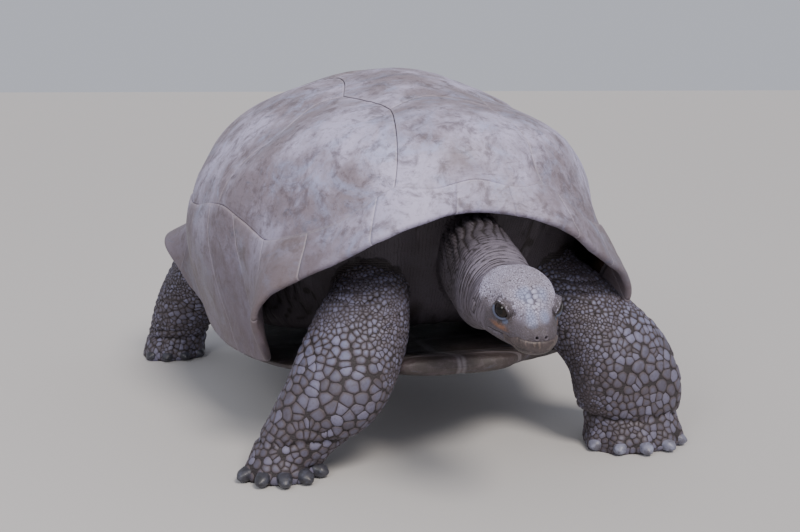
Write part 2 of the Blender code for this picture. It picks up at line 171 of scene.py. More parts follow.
def ripple(points, length, seed, count=14):
    """Soft noise about 0: the mean of plane waves near one wavelength, in directions drawn by seed."""
    draw = np.random.default_rng(seed)
    heading = unit(draw.normal(size=(count, points.shape[-1])))
    rate = 2 * math.pi / (length * draw.uniform(0.7, 1.6, count))
    phase = draw.uniform(0, 2 * math.pi, count)
    return np.sin(points @ (heading * rate[:, None]).T + phase).mean(axis=-1) * 1.8


def sway(chart):
    """A slow wander that keeps the seams from running dead straight."""
    return chart + 0.006 * np.stack([ripple(chart, 0.30, 5), ripple(chart, 0.30, 6)], -1)


# where the seam between the inner plates and the edge plates runs: direction, then step
EDGE_SEAM = (
    (0, 0.872), (8, 0.893), (16, 0.857), (21, 0.888), (27, 0.908), (34, 0.903), (42, 0.876), (49, 0.846),
    (57.5, 0.790), (64, 0.742), (70, 0.722), (84, 0.714), (101, 0.718), (112, 0.720), (122, 0.735),
    (133, 0.752), (145, 0.770), (153, 0.800), (160, 0.830), (170, 0.846), (180, 0.850),
)
# corners where three plates meet on the left side; the right side mirrors them
CORNERS = {
    "neck": (16, 0.857), "back_1": (19, 0.420), "side_1": (45.5, 0.285), "back_2": (96, 0.140),
    "side_2": (129, 0.225), "back_3": (156, 0.255), "side_3": (160, 0.390), "back_4": (170, 0.475),
    "rump": (160, 0.830), "edge_1": (70, 0.722), "edge_2": (112, 0.720), "edge_3": (145, 0.770),
}
# points that a seam passes through on its way between two corners
ON_THE_WAY = {
    ("neck", "back_1"): ((16, 0.60), (17, 0.49)),
    ("side_1", "edge_1"): ((57, 0.325), (59, 0.425), (61.5, 0.50), (66.5, 0.565)),
    ("side_2", "edge_2"): ((122, 0.38), (116, 0.55)),
    ("side_3", "edge_3"): ((151, 0.50), (147, 0.62)),
}
# how far a cross seam bows to the rear at the middle of the back, in steps
BOWS = {"back_1": 0.057, "back_2": 0.030, "back_3": 0.020, "back_4": -0.025}
SEAM_PITCH = 0.0055           # chart distance between points on a seam
SCUTE_RINGS = 46
BACK_BULGE, SIDE_BULGE, RIM_BULGE = 0.0055, 0.0075, 0.0012     # how far a plate's middle stands up
INNER_RINGS, RIM_RINGS = 0.00055, 0.00035                      # height of the growth rings
INNER_GROOVE, RIM_GROOVE = 0.0009, 0.00015                     # depth of a seam
SCUTE_DEPTH = 0.0105          # from a scute's outside down to its base, which sits in the bone


def edge_step(degrees):
    """Step of the edge plates' inner seam in each direction."""
    keys, steps = np.array(EDGE_SEAM).T
    return mirrored_cubic(np.abs(degrees), keys, steps)


def through(rows, at):
    """Catmull-Rom curve through rows of numbers, at places counted in rows."""
    rows = np.asarray(rows, float)
    i = np.clip(at.astype(int), 0, len(rows) - 2)
    t = (at - i)[:, None]
    longer = np.vstack([2 * rows[0] - rows[1], rows, 2 * rows[-1] - rows[-2]])
    a, b, c, d = longer[i], longer[i + 1], longer[i + 2], longer[i + 3]
    cubic = (3 * b - a - 3 * c + d) * t ** 3
    return 0.5 * (2 * b + (c - a) * t + (2 * a - 5 * b + 4 * c - d) * t * t + cubic)


def place_of(corner):
    """Chart point of a corner named with its side, such as back_1 left."""
    name, side = corner.rsplit(" ", 1)
    degrees, step = CORNERS[name]
    return polar(np.array(-degrees if side == "right" else degrees), step)


def seam(start, end):
    """Chart points along the seam from one corner up to, not counting, the next."""
    first, side = start.rsplit(" ", 1)
    last = end.rsplit(" ", 1)[0]
    a, b = place_of(start), place_of(end)
    if all(name in ("neck", "rump") or name.startswith("edge") for name in (first, last)):
        d0, d1 = (np.degrees(np.arctan2(p[0], -p[1])) for p in (a, b))
        if first == last == "rump":
            d1 += 360 if d1 < d0 else -360
        count = int(abs(d1 - d0) / 0.45)
        degrees = np.linspace(d0, d1, count, endpoint=False)
        degrees = (degrees + 180) % 360 - 180
        return polar(degrees, edge_step(degrees))
    if first == last:
        route = np.stack([a, (a + b) / 2 + (0, BOWS[first]), b])
    else:
        ways = ON_THE_WAY.get((first, last)) or ON_THE_WAY.get((last, first), ())[::-1]
        sign = -1 if side == "right" else 1
        route = np.array([a] + [polar(sign * np.array(d), s) for d, s in ways] + [b])
    length = np.linalg.norm(np.diff(route, axis=0), axis=1).sum()
    count = max(int(length / SEAM_PITCH), 6)
    return through(route, np.linspace(0, len(route) - 1, count, endpoint=False))


def ease(value, low, high):
    """0 below low, 1 above high, and an S between them."""
    t = np.clip((value - low) / (high - low), 0.0, 1.0)
    return t * t * (3 - 2 * t)


def relief(spot, seam_distance, inner, bulge, ring_height, groove):
    """Height of a scute over the dome: a soft bulge, a seam that dips, rings beside it, and wear."""
    rings = np.sin(2 * math.pi * (seam_distance + 0.0012 * ripple(spot, 0.05, 11)) / 0.0068)
    near = ease(seam_distance, 0.004, 0.009) * (1 - ease(seam_distance, 0.020, 0.055))
    patchy = ease(ripple(spot, 0.16, 12), -0.15, 0.7)
    height = bulge * (inner - 0.55) - groove * np.exp(-(seam_distance / 0.0016) ** 2)
    height += ring_height * rings * near * patchy
    height += 0.0013 * ripple(spot, 0.085, 13) + 0.0006 * ripple(spot, 0.030, 14)
    worn = ripple(spot, 0.011, 15, 20)
    return height + 0.00022 * worn + 0.0004 * np.minimum(ripple(spot, 0.018, 16, 20) + 0.55, 0)


def net(rows, columns, closed=False, start=0):
    """Faces of a grid of rows by columns; a closed one joins its last column to its first."""
    index = np.arange(rows * columns).reshape(rows, columns) + start
    after = np.roll(index, -1, axis=1)
    if not closed:
        index, after = index[:, :-1], after[:, :-1]
    return np.stack([index[:-1], after[:-1], after[1:], index[1:]], -1).reshape(-1, 4)


def end_fans(rows, columns, first, last, start=0):
    """Triangles that close a grid's two ends, each fanned round a point: the first row's and the last's."""
    column = np.arange(columns) + start
    after = np.roll(column, -1)
    down = (rows - 1) * columns
    return np.vstack([np.stack([np.full(columns, first), column, after], -1),
                      np.stack([np.full(columns, last), down + after, down + column], -1)])


def scute(route, bulge):
    """One inner plate: rings shrink from its seam to its middle, and a skirt and a base close it."""
    middle = (route.min(axis=0) + route.max(axis=0)) / 2
    t = 1 - (1 - np.linspace(0, 1, SCUTE_RINGS + 1)[1:]) ** 1.35
    border, _ = shell_at(sway(route))
    centre, _ = shell_at(sway(middle[None]))
    spoke = border - centre
    along = unit(np.roll(border, -1, axis=0) - np.roll(border, 1, axis=0))
    across = np.linalg.norm(spoke - along * (spoke * along).sum(1)[:, None], axis=1)
    t = t[:, None] * (1 - 0.00035 / across)[None]
    chart = middle + t[..., None] * (route - middle)
    seam_distance = ((1 - t) * across).ravel()
    inner = 1 - t.ravel() ** 2.4
    flat = sway(chart.reshape(-1, 2))
    spot, out = shell_at(flat)
    height = relief(spot, seam_distance, inner, bulge, INNER_RINGS, INNER_GROOVE)
    count = len(route)
    hub, hub_out = shell_at(sway(middle[None]))
    top = spot + out * height[:, None]
    skirt = spot[-count:] - out[-count:] * SCUTE_DEPTH
    points = np.vstack([hub + hub_out * bulge * 0.45, top, skirt, hub - hub_out * SCUTE_DEPTH])
    faces = net(SCUTE_RINGS + 1, count, closed=True, start=1)
    ends = end_fans(SCUTE_RINGS + 1, count, 0, len(points) - 1, start=1)
    distance = np.r_[across.max(), seam_distance, np.zeros(count + 1)]
    return points, faces[:, ::-1], ends, distance


def joined(parts):
    """Several closed shapes put in one set of arrays."""
    start, points, quads, triangles, distance, shade = 0, [], [], [], [], []
    draw = np.random.default_rng(3)
    for p, q, t, d in parts:
        points.append(p)
        quads.append(q + start)
        triangles.append(t + start)
        distance.append(d)
        shade.append(np.full(len(p), draw.uniform()))
        start += len(p)
    values = {"seam": np.concatenate(distance), "shade": np.concatenate(shade)}
    return np.vstack(points), [np.vstack(quads), np.vstack(triangles)], values


def outline(corners):
    """The whole seam round a plate, through its corners in turn, running towards the animal's left."""
    return np.vstack([seam(a, b) for a, b in zip(corners, corners[1:] + corners[:1])])


def slab(rows, columns):
    """Faces of a closed bent plate whose points are its front grid's and then its back grid's."""
    count = rows * columns
    index = np.arange(count).reshape(rows, columns)
    border = np.concatenate([index[0], index[1:, -1], index[-1, -2::-1], index[-2:0:-1, 0]])
    after = np.roll(border, -1)
    wall = np.stack([border, after, count + after, count + border], -1)
    faces = net(rows, columns)
    return np.vstack([faces[:, ::-1], faces + count, wall])


EDGE_PLATE_COLUMNS = 30
LIP_ROW = 32                  # row of a rim plate that runs along the middle of the lip
LIP_MIDDLE = EDGE + LIP / 2
UNDER_REACH = 1.085           # step where a rim plate ends, inside the shell
RIM_SEAM_PALER = 0.0016       # added to the rim's distance from a seam, so that its seams stay faint


def edge_plate(start, end):
    """One plate of the rim: a grid from its inner seam over the lip and back under it, and its base."""
    across = np.linspace(0, 1, EDGE_PLATE_COLUMNS)
    outside, inside = np.linspace(0, 1, LIP_ROW + 1), np.linspace(0, 1, LIP_ROW // 2 + 1)[1:]
    outside = 1 - (1 - outside) ** 1.5
    degrees = np.linspace(start, end, EDGE_PLATE_COLUMNS)[None]
    inner_seam = edge_step((degrees + 180) % 360 - 180)
    steps = np.vstack([inner_seam + (LIP_MIDDLE - inner_seam) * outside[:, None],
                       LIP_MIDDLE + (UNDER_REACH - LIP_MIDDLE) * inside[:, None] ** 1.4 + 0 * degrees])
    rows = len(steps)
    chart = sway(polar((degrees + 0 * steps).ravel(), steps.ravel()))
    spot, out = shell_at(chart)
    grid = spot.reshape(rows, -1, 3)
    wide = np.linalg.norm(np.diff(grid, axis=1), axis=2).sum(axis=1)[:, None]
    deep = np.cumsum(np.r_[0 * grid[:1, :, 0], np.linalg.norm(np.diff(grid, axis=0), axis=2)], axis=0)
    side = np.minimum(across, 1 - across)[None] * wide
    seam_distance = np.minimum(side, np.minimum(deep, deep[-1:] - deep)).ravel()
    rise = 1 - np.abs(2 * np.clip(deep / deep[LIP_ROW], 0, 1) - 1) ** 3
    inner = (1 - np.abs(2 * across - 1)[None] ** 3) * rise
    height = relief(spot, seam_distance, inner.ravel(), RIM_BULGE, RIM_RINGS, RIM_GROOVE)
    points = np.vstack([spot + out * height[:, None], spot - out * SCUTE_DEPTH])
    distance = np.r_[seam_distance, 0 * seam_distance] + RIM_SEAM_PALER
    return points, slab(rows, EDGE_PLATE_COLUMNS), np.zeros((0, 3), int), distance


# the corners round each plate of the back, and of the sides
BACK_PLATES = (
    ("neck left", "back_1 left", "back_1 right", "neck right"),
    ("back_1 left", "side_1 left", "back_2 left", "back_2 right", "side_1 right", "back_1 right"),
    ("back_2 left", "side_2 left", "back_3 left", "back_3 right", "side_2 right", "back_2 right"),
    ("back_3 left", "side_3 left", "back_4 left", "back_4 right", "side_3 right", "back_3 right"),
    ("back_4 left", "rump left", "rump right", "back_4 right"),
)
SIDE_PLATES = (
    ("neck", "edge_1", "side_1", "back_1"),
    ("side_1", "edge_1", "edge_2", "side_2", "back_2"),
    ("side_2", "edge_2", "edge_3", "side_3", "back_3"),
    ("side_3", "edge_3", "rump", "back_4"),
)
# directions of the seams between the rim's plates, on either side
EDGE_CUTS = (19, 33, 47, 60, 74, 90, 106, 122, 137, 152, 167)
NUCHAL = (-4.0, 6.5)          # the small plate over the neck sits a little to the left


def linear(code):
    """A colour given as sRGB hex, turned to linear light."""
    channels = [int(code[i:i + 2], 16) / 255 for i in (1, 3, 5)]
    return [c / 12.92 if c <= 0.04045 else ((c + 0.055) / 1.055) ** 2.4 for c in channels] + [1.0]


def add_node(material, kind, sockets, output=0, **settings):
    """Add a node: its settings, what feeds its sockets, and the output that is handed back."""
    made = material.node_tree.nodes.new("ShaderNode" + kind)
    for key, value in settings.items():
        setattr(made, key, value)
    for socket, source in sockets.items():
        if isinstance(source, bpy.types.NodeSocket):
            material.node_tree.links.new(source, made.inputs[socket])
        else:
            made.inputs[socket].default_value = source
    return made.outputs[output]


def new_material(name, roughness, ior):
    """An empty finish: its material and its Principled shader."""
    material = bpy.data.materials.new(name)
    material.use_nodes = True
    shader = material.node_tree.nodes["Principled BSDF"]
    shader.inputs["Roughness"].default_value = roughness
    shader.inputs["IOR"].default_value = ior
    return material, shader


def tinted(material, shader, base, layers, interpolation="SMOOTHSTEP"):
    """Colours laid one over another and led to the finish: each layer is what it follows, the values
    of that where it starts and where it is full, how much of it covers then, and its colour."""
    colour = linear(base)
    for source, start, full, most, over in layers:
        amount = add_node(material, "MapRange", {0: source, 1: start, 2: full, 3: 0.0, 4: most},
                          interpolation_type=interpolation)
        colour = add_node(material, "Mix", {0: amount, 6: colour, 7: linear(over)}, 2, data_type="RGBA")
    material.node_tree.links.new(colour, shader.inputs["Base Color"])


def roughened(material, shader, height, strength, distance):
    """The grain that is too fine for the mesh, as a bump of this height in metres."""
    bump = add_node(material, "Bump", {"Height": height, "Strength": strength, "Distance": distance})
    material.node_tree.links.new(bump, shader.inputs["Normal"])


def worn_keratin(name, base, stain, polish_and_sheen, painted_shade):
    """Keratin scutes, grown and then worn by weather: mauve-grey horn with brown stains and blue-grey
    worn patches a hand across, their colour partly a painted sheen, fine dark scores along the body, a pale
    rubbed line beside each dark seam, and painted shade that darkens the plates towards the bottom."""
    material, shader = new_material(name, 0.5, 1.54)
    place = add_node(material, "TexCoord", {}, 3)
    seams = add_node(material, "Attribute", {}, 2, attribute_name="seam")
    shade = add_node(material, "Attribute", {}, 2, attribute_name="shade")
    broad = add_node(material, "TexNoise", {"Vector": place, "Scale": 5.5, "Detail": 7.0, "Roughness": 0.62})
    patch = add_node(material, "TexNoise", {"Vector": place, "Scale": 11.0, "Detail": 8.0,
                                            "Roughness": 0.7, "Distortion": 0.8})
    fine = add_node(material, "TexNoise", {"Vector": place, "Scale": 90.0, "Detail": 6.0, "Roughness": 0.65})
    drawn = add_node(material, "Mapping", {"Vector": place, "Rotation": (0.3, 0.2, 0.5),
                                           "Scale": (18, 60, 140)})
    score = add_node(material, "TexNoise", {"Vector": drawn, "Scale": 1.0, "Detail": 5.0, "Roughness": 0.75})
    grime = add_node(material, "TexNoise", {"Vector": place, "Scale": 30.0, "Detail": 9.0, "Roughness": 0.72,
                                            "Distortion": 0.5})
    level = add_node(material, "SeparateXYZ", {0: place}, 2)
    scuff = add_node(material, "TexNoise", {"Vector": drawn, "Scale": 0.22, "Detail": 8.0, "Roughness": 0.8,
                                            "Distortion": 1.2})
    layers = (
        # the blue-grey patches: worn horn, their colour partly a painted sheen
        (broad, 0.40, 0.60, 0.85, stain), (patch, 0.48, 0.70, 0.50, polish_and_sheen),
        # painted shade: below a height of 0.50 m the plates darken, fully by 0.26 m
        (level, 0.50, 0.26, 0.80, painted_shade), (scuff, 0.55, 0.68, 0.62, "#5f6378"),
        (grime, 0.48, 0.64, 0.62, "#574b4f"), (fine, 0.50, 0.72, 0.45, "#5f5458"),
        (score, 0.60, 0.70, 0.50, "#51474c"), (shade, 0.0, 1.0, 0.15, "#8d8078"),
        (seams, 0.0050, 0.0020, 0.16, "#cdc5cf"), (seams, 0.0013, 0.0004, 0.7, "#4f4548"),
    )
    tinted(material, shader, base, layers)
    rough = add_node(material, "MapRange", {0: patch, 1: 0.35, 2: 0.7, 3: 0.62, 4: 0.42})
    material.node_tree.links.new(rough, shader.inputs["Roughness"])
    grain = add_node(material, "Math", {0: fine, 1: score}, operation="ADD")
    grain = add_node(material, "Math", {0: grime, 1: 1.5, 2: grain}, operation="MULTIPLY_ADD")
    roughened(material, shader, grain, 0.75, 0.0014)
    return material


# The two eyes are small round solids, so the middle between them fixes the animal's own frame to a
# tenth of a millimetre. Every surface is worked out in that frame, and carried to where the packed
# solids stand as its mesh is made.
HEAD_PLACE = np.array([0.009, -0.700, 0.331])     # midway between the eyes' sockets
HEAD_DOWN = math.radians(17)                      # the head's tilt, nose down
EYE_OUT, EYE_AHEAD = 0.0355, 0.007
nose_down = np.array([0.0, -math.cos(HEAD_DOWN), -math.sin(HEAD_DOWN)])
eye_corners = np.array([[list(corner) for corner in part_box(node)] for node in ("eye_left", "eye_right")])
PLACE = eye_corners.mean(axis=(0, 1)) - (HEAD_PLACE + EYE_AHEAD * nose_down)
PLACE[2] = 0.0


def make_piece(name, points, faces, material, replaces=(), values=None, uv=None):
    """One mesh from whole arrays: points, faces of four and three corners, and named values per point."""
    mesh = bpy.data.meshes.new(name)
    faces = [np.asarray(group, np.int32) for group in faces if len(group)]
    sizes = np.concatenate([np.full(len(group), group.shape[1]) for group in faces])
    corners = np.concatenate([group.ravel() for group in faces])
    mesh.vertices.add(len(points))
    mesh.vertices.foreach_set("co", (np.asarray(points) + PLACE).astype(np.float32).ravel())
    mesh.loops.add(len(corners))
    mesh.loops.foreach_set("vertex_index", corners)
    mesh.polygons.add(len(sizes))
    mesh.polygons.foreach_set("loop_start", np.r_[0, np.cumsum(sizes)[:-1]].astype(np.int32))
    mesh.update(calc_edges=True)
    for key, value in (values or {}).items():
        layer = mesh.attributes.new(key, "FLOAT", "POINT")
        layer.data.foreach_set("value", np.asarray(value, np.float32))
    if uv is not None:
        layer = mesh.uv_layers.new(name="OFBake")
        layer.data.foreach_set("uv", uv[corners].astype(np.float32).ravel())
    mesh.shade_smooth()
    mesh.materials.append(material)
    piece = bpy.data.objects.new(name, mesh)
    bpy.context.collection.objects.link(piece)
    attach(piece, "root")
    if replaces:
        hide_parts(*replaces)
    return piece


# the blue-grey colour is worn horn with a painted sheen
# the last colour is painted shade, laid on the shell's lower plates
keratin = worn_keratin("worn_keratin_scutes", base="#bcb6d4", stain="#7b6e75", polish_and_sheen="#a4b1dc",
                       painted_shade="#52474e")
plates = [scute(outline(corners), BACK_BULGE) for corners in BACK_PLATES]
points, faces, values = joined(plates)
make_piece("back_scutes", points, faces, keratin, ("carapace",), values)
for side in ("left", "right"):
    plates = []
    for corners in SIDE_PLATES:
        route = outline([f"{corner} {side}" for corner in corners])
        plates.append(scute(route if side == "left" else route[::-1], SIDE_BULGE))
    points, faces, values = joined(plates)
    make_piece("side_scutes_" + side, points, faces, keratin, (), values)
    sign = 1 if side == "left" else -1
    first = NUCHAL[1] if side == "left" else NUCHAL[0]
    cuts = [first] + [sign * cut for cut in EDGE_CUTS]
    plates = [edge_plate(*sorted(pair)) for pair in zip(cuts, cuts[1:])]
    if side == "left":
        plates += [edge_plate(*NUCHAL), edge_plate(EDGE_CUTS[-1], 360 - EDGE_CUTS[-1])]
    points, faces, values = joined(plates)
    make_piece("rim_scutes_" + side, points, faces, keratin, (), values)


# ==== shell bone: the dome that the scutes grow on ====
# One closed dish of bone: its outside lies in the scutes' bases, its lip in the rim plates, and its
# inside is lined with brown skin.
BONE_RIBS = 300
BONE_DEPTH = 0.0085          # the bone's outside below the scutes'


bone_steps = np.r_[np.linspace(0.02, 0.95, 34), np.linspace(0.96, EDGE, 4),
                   EDGE + LIP * np.linspace(0.1, 1, 9), np.linspace(EDGE + LIP + 0.01, 1.9, 60)]
bone_degrees = np.arange(BONE_RIBS) * 360 / BONE_RIBS - 180
bone_chart = polar(np.tile(bone_degrees, len(bone_steps)), np.repeat(bone_steps, BONE_RIBS))
spot, out = shell_at(bone_chart)
lined = ease(np.repeat(bone_steps, BONE_RIBS), 1.05, 1.12)
uneven = 0.0016 * ripple(spot, 0.06, 21) + 0.0008 * ripple(spot, 0.02, 22)
height = lined * uneven - BONE_DEPTH * (1 - lined)
crown, crown_out = shell_at(np.array([[1e-4, 0.0], [1.9995, 0.0]]))
crown = crown + crown_out * np.array([[-BONE_DEPTH], [0.0]])
points = np.vstack([spot + out * height[:, None], crown])
caps = end_fans(len(bone_steps), BONE_RIBS, len(spot), len(spot) + 1)


def shell_lining():
    """Skin that lines the shell's inside: dry, earthy brown with darker stains and dust in its grain."""
    material, shader = new_material("brown_shell_lining", 0.72, 1.45)
    place = add_node(material, "TexCoord", {}, 3)
    broad = add_node(material, "TexNoise", {"Vector": place, "Scale": 9.0, "Detail": 6.0, "Roughness": 0.6})
    fine = add_node(material, "TexNoise", {"Vector": place, "Scale": 60.0, "Detail": 7.0, "Roughness": 0.7})
    layers = ((broad, 0.4, 0.65, 1.0, "#3a2c26"), (fine, 0.55, 0.8, 0.6, "#7a6250"))
    tinted(material, shader, "#5a4436", layers, "LINEAR")
    roughened(material, shader, fine, 0.6, 0.002)
    return material


quads = net(len(bone_steps), BONE_RIBS, closed=True)[:, ::-1]
make_piece("shell_bone", points, [quads, caps], shell_lining())


# ==== plastron: the belly plate ====
# Bone under six pairs of scutes, flat below and rising to a blunt lip under the throat, rubbed dark and
# smooth by the ground, and lying low enough that the scutes' painted shade covers most of it.
PLASTRON = (                          # y, half width, underside, top
    (-0.440, 0.050, 0.163, 0.184), (-0.425, 0.092, 0.158, 0.188), (-0.370, 0.140, 0.150, 0.180),
    (-0.300, 0.225, 0.140, 0.164), (-0.250, 0.272, 0.136, 0.158), (-0.130, 0.322, 0.132, 0.156),
    (0.000, 0.334, 0.130, 0.156), (0.130, 0.330, 0.132, 0.157), (0.230, 0.285, 0.136, 0.160),
    (0.310, 0.195, 0.142, 0.165), (0.380, 0.130, 0.150, 0.168), (0.410, 0.070, 0.156, 0.170),
)
BELLY_SEAMS = (-0.395, -0.300, -0.165, 0.130, 0.245, 0.345)     # y of the seams across it
BELLY_ROWS, BELLY_COLUMNS = 200, 160
BELLY_SQUARENESS = 3.4
BELLY_END = 0.014             # length over which the plate's front and rear edges are rounded


def rounded(angle, squareness):
    """Distance to a unit superellipse in each direction."""
    c, s = np.abs(np.cos(angle)), np.abs(np.sin(angle))
    return (c ** squareness + s ** squareness) ** (-1 / squareness)


at = np.linspace(0, 1, BELLY_ROWS)
at = 0.5 * at + 0.25 * (1 - np.cos(math.pi * at))
y, wide, low, top = through(PLASTRON, at * (len(PLASTRON) - 1)).T
to_end = np.clip(np.minimum(y - PLASTRON[0][0], PLASTRON[-1][0] - y) / BELLY_END, 0, 1)
closing = np.sqrt(1 - (1 - to_end) ** 2)[:, None]
turn = np.arange(BELLY_COLUMNS) * 2 * math.pi / BELLY_COLUMNS
size = rounded(turn, BELLY_SQUARENESS)
half = (top - low)[:, None] / 2
x = (wide[:, None] - BELLY_END * (1 - closing)) * np.cos(turn) * size
z = (top + low)[:, None] / 2 + half * closing * np.sin(turn) * size
belly = np.stack([x, y[:, None] + 0 * x, z], -1)
wander = 0.006 * ripple(belly.reshape(-1, 3), 0.09, 17).reshape(x.shape)
to_seam = np.abs(x - 0.004 - 0.5 * wander)
for cut in BELLY_SEAMS:
    slant = 0.08 * np.abs(x) * np.sign(-cut)
    to_seam = np.minimum(to_seam, np.abs(belly[..., 1] - cut - wander - slant))
rings = 0.0004 * np.sin(to_seam / 0.0075 * 2 * math.pi) * (1 - ease(to_seam, 0.02, 0.05))
dent = 0.0014 * np.exp(-(to_seam / 0.0022) ** 2) - rings
dent = dent + 0.0008 * ripple(belly.reshape(-1, 3), 0.05, 18).reshape(x.shape)
flat_part = -np.sign(np.sin(turn)) * ease(np.abs(np.sin(turn)), 0.2, 0.8) * closing
belly[..., 2] += dent * flat_part
points = np.vstack([belly.reshape(-1, 3), belly[0].mean(axis=0), belly[-1].mean(axis=0)])
ends = end_fans(BELLY_ROWS, BELLY_COLUMNS, len(points) - 2, len(points) - 1)
quads = net(BELLY_ROWS, BELLY_COLUMNS, closed=True)
values = {"seam": np.r_[to_seam.ravel() * 0.5, 0.05, 0.05], "shade": np.zeros(len(points))}
# the whole belly lies below 0.26 m, so its last colour, painted shade, covers most of it
belly_keratin = worn_keratin("scuffed_belly_keratin", base="#4f4644", stain="#2f2826", polish_and_sheen="#484852",
                             painted_shade="#3b3332")
make_piece("belly_scutes", points, [quads[:, ::-1], ends[:, ::-1]], belly_keratin,
           ("plastron",), values)


# ==== skin: one hide over trunk, neck, head, tail and legs ====
# The flesh is worked out as tubes: rings carried along a path, drawn in by the depth of the scales
# and creased where the hide folds. The tubes are joined to the trunk and the joins rubbed smooth.
SCALE_DEPTH = 0.0022
FLESH_SQUARENESS = 2.2
# paths of the limbs and the tail: x, y, z, half breadth, half depth, turn in degrees
FRONT_RIGHT = (
    (-0.108, -0.285, 0.318, 0.036, 0.040, 0), (-0.122, -0.325, 0.285, 0.066, 0.066, -8),
    (-0.150, -0.365, 0.235, 0.082, 0.074, -15), (-0.195, -0.400, 0.155, 0.087, 0.063, -28),
    (-0.251, -0.394, 0.085, 0.066, 0.058, -25), (-0.287, -0.388, 0.040, 0.053, 0.057, -20),
    (-0.294, -0.385, -0.010, 0.067, 0.072, -20),
)
FRONT_LEFT = (
    (0.200, -0.240, 0.300, 0.070, 0.070, 0), (0.248, -0.315, 0.245, 0.080, 0.072, 10),
    (0.306, -0.368, 0.175, 0.096, 0.066, 10), (0.335, -0.387, 0.100, 0.102, 0.064, 5),
    (0.342, -0.390, 0.045, 0.087, 0.064, 0), (0.340, -0.392, -0.010, 0.090, 0.074, 0),
)
HIND_RIGHT = (
    (-0.265, 0.300, 0.300, 0.080, 0.080, 0), (-0.320, 0.370, 0.235, 0.080, 0.080, 0),
    (-0.375, 0.430, 0.140, 0.072, 0.075, 0), (-0.403, 0.468, 0.050, 0.068, 0.072, 0),
    (-0.412, 0.472, -0.010, 0.076, 0.082, 0),
)
HIND_LEFT = (
    (0.250, 0.240, 0.300, 0.080, 0.080, 0), (0.300, 0.290, 0.235, 0.080, 0.080, 0),
    (0.335, 0.320, 0.140, 0.072, 0.075, 0), (0.350, 0.335, 0.050, 0.068, 0.072, 0),
    (0.355, 0.335, -0.010, 0.076, 0.082, 0),
)
TAIL = (
    (0.000, 0.300, 0.250, 0.060, 0.055, 0), (0.005, 0.400, 0.235, 0.052, 0.048, 0),
    (0.012, 0.480, 0.205, 0.040, 0.036, 0), (0.022, 0.535, 0.155, 0.026, 0.023, 0),
    (0.030, 0.555, 0.110, 0.010, 0.009, 0),
)


def run_along(table):
    """Length of a path up to each of its points, which are a table's first three columns."""
    return np.r_[0, np.cumsum(np.linalg.norm(np.diff(table[:, :3], axis=0), axis=1))]


def spread(places, length, spacing):
    """Places a chosen spacing apart: the running sum of 1 / spacing, read backwards at whole numbers."""
    gaps = np.diff(length) / spacing(0.5 * (places[1:] + places[:-1]))
    total = np.r_[0, np.cumsum(gaps)]
    return np.interp(np.linspace(0, total[-1], int(round(total[-1])) + 1), total, places)


def grid_normals(grid):
    """Outward normals of a closed tube of rings by columns."""
    around = np.roll(grid, -1, axis=1) - np.roll(grid, 1, axis=1)
    normal = unit(np.cross(np.gradient(grid, axis=0), around))
    return normal * np.sign((normal * (grid - grid.mean(axis=1, keepdims=True))).sum(axis=-1).mean())


def leg_tube(rows, spacing=0.0058):
    """A leg as rings square to its path, superellipses as broad and deep as its rows say."""
    places = np.linspace(0, len(rows) - 1, 400)
    table = through(rows, places)
    floor_at = np.interp(0.0, -table[:, 2], places)
    at = spread(places, run_along(table), lambda place: spacing + 0 * place)
    at = np.r_[at[at < floor_at - 0.02], floor_at]
    table = through(rows, at)
    centre = table[:, :3]
    along = unit(np.gradient(centre, axis=0))
    turn = np.radians(table[:, 5])
    across = np.stack([np.cos(turn), np.sin(turn), 0 * turn], -1)
    across = unit(across - along * (across * along).sum(1)[:, None])
    deep = np.cross(along, across)
    columns = int(2 * math.pi * 0.078 / spacing)
    angle = np.linspace(0, 2 * math.pi, columns, endpoint=False)
    size = rounded(angle, FLESH_SQUARENESS)
    wide = table[:, 3, None] * np.cos(angle) * size
    thick = table[:, 4, None] * np.sin(angle) * size
    return centre[:, None] + across[:, None] * wide[..., None] + deep[:, None] * thick[..., None]


# directions of the toes round a foot, from straight ahead, in degrees
FRONT_CLAW_ANGLES = (-70, -37, -5, 27, 60)
HIND_CLAW_ANGLES = (-48, -16, 16, 48)
TOE_HEIGHT, TOE_RADIUS = 0.0100, 0.0165
SOLE_ROUNDING = 0.012


def creased_leg(rows, crease_height, swell, rings_from, rings_deep, claw_angles):
    """The leg's tube with a crease over the foot, a rounded sole, toes and rings of slack hide."""
    grid = leg_tube(rows)
    normal = grid_normals(grid)
    z = grid[..., 2]
    flat = grid.reshape(-1, 3)
    slow = ripple(flat, 0.11, 31).reshape(z.shape)
    wander = ripple(flat, 0.09, 32).reshape(z.shape)
    level = crease_height + 0.006 * wander
    push = -SCALE_DEPTH + swell * slow
    push = push - 0.0060 * np.exp(-((z - level) / 0.0045) ** 2)
    push = push - 0.0030 * np.exp(-((z - level - 0.020) / 0.0035) ** 2) * ease(wander, -0.2, 0.4)
    sag = np.sin(2 * math.pi * (z + 0.010 * wander) / 0.017)
    push = push - rings_deep * (0.5 + 0.5 * sag) ** 3 * ease(z, *rings_from) * ease(slow + 0.9, 0.2, 1.1)
    push = push - 0.010 * ease(SOLE_ROUNDING - z, 0.0, SOLE_ROUNDING) ** 2
    for turn in np.radians(claw_angles):
        away = np.hypot(grid[..., 0] - rows[-1][0] - rows[-1][3] * math.sin(turn),
                        grid[..., 1] - rows[-1][1] + rows[-1][4] * math.cos(turn))
        push = push + TOE_HEIGHT * np.exp(-(away / TOE_RADIUS) ** 2) * (1 - ease(z, 0.020, 0.052))
    grid = grid + normal * push[..., None]
    grid[-1, :, 2] = 0.0
    grid[..., 2] = np.maximum(grid[..., 2], 0.0004)
    return grid


TUBES = 7                     # trunk, neck and head, tail, and four legs


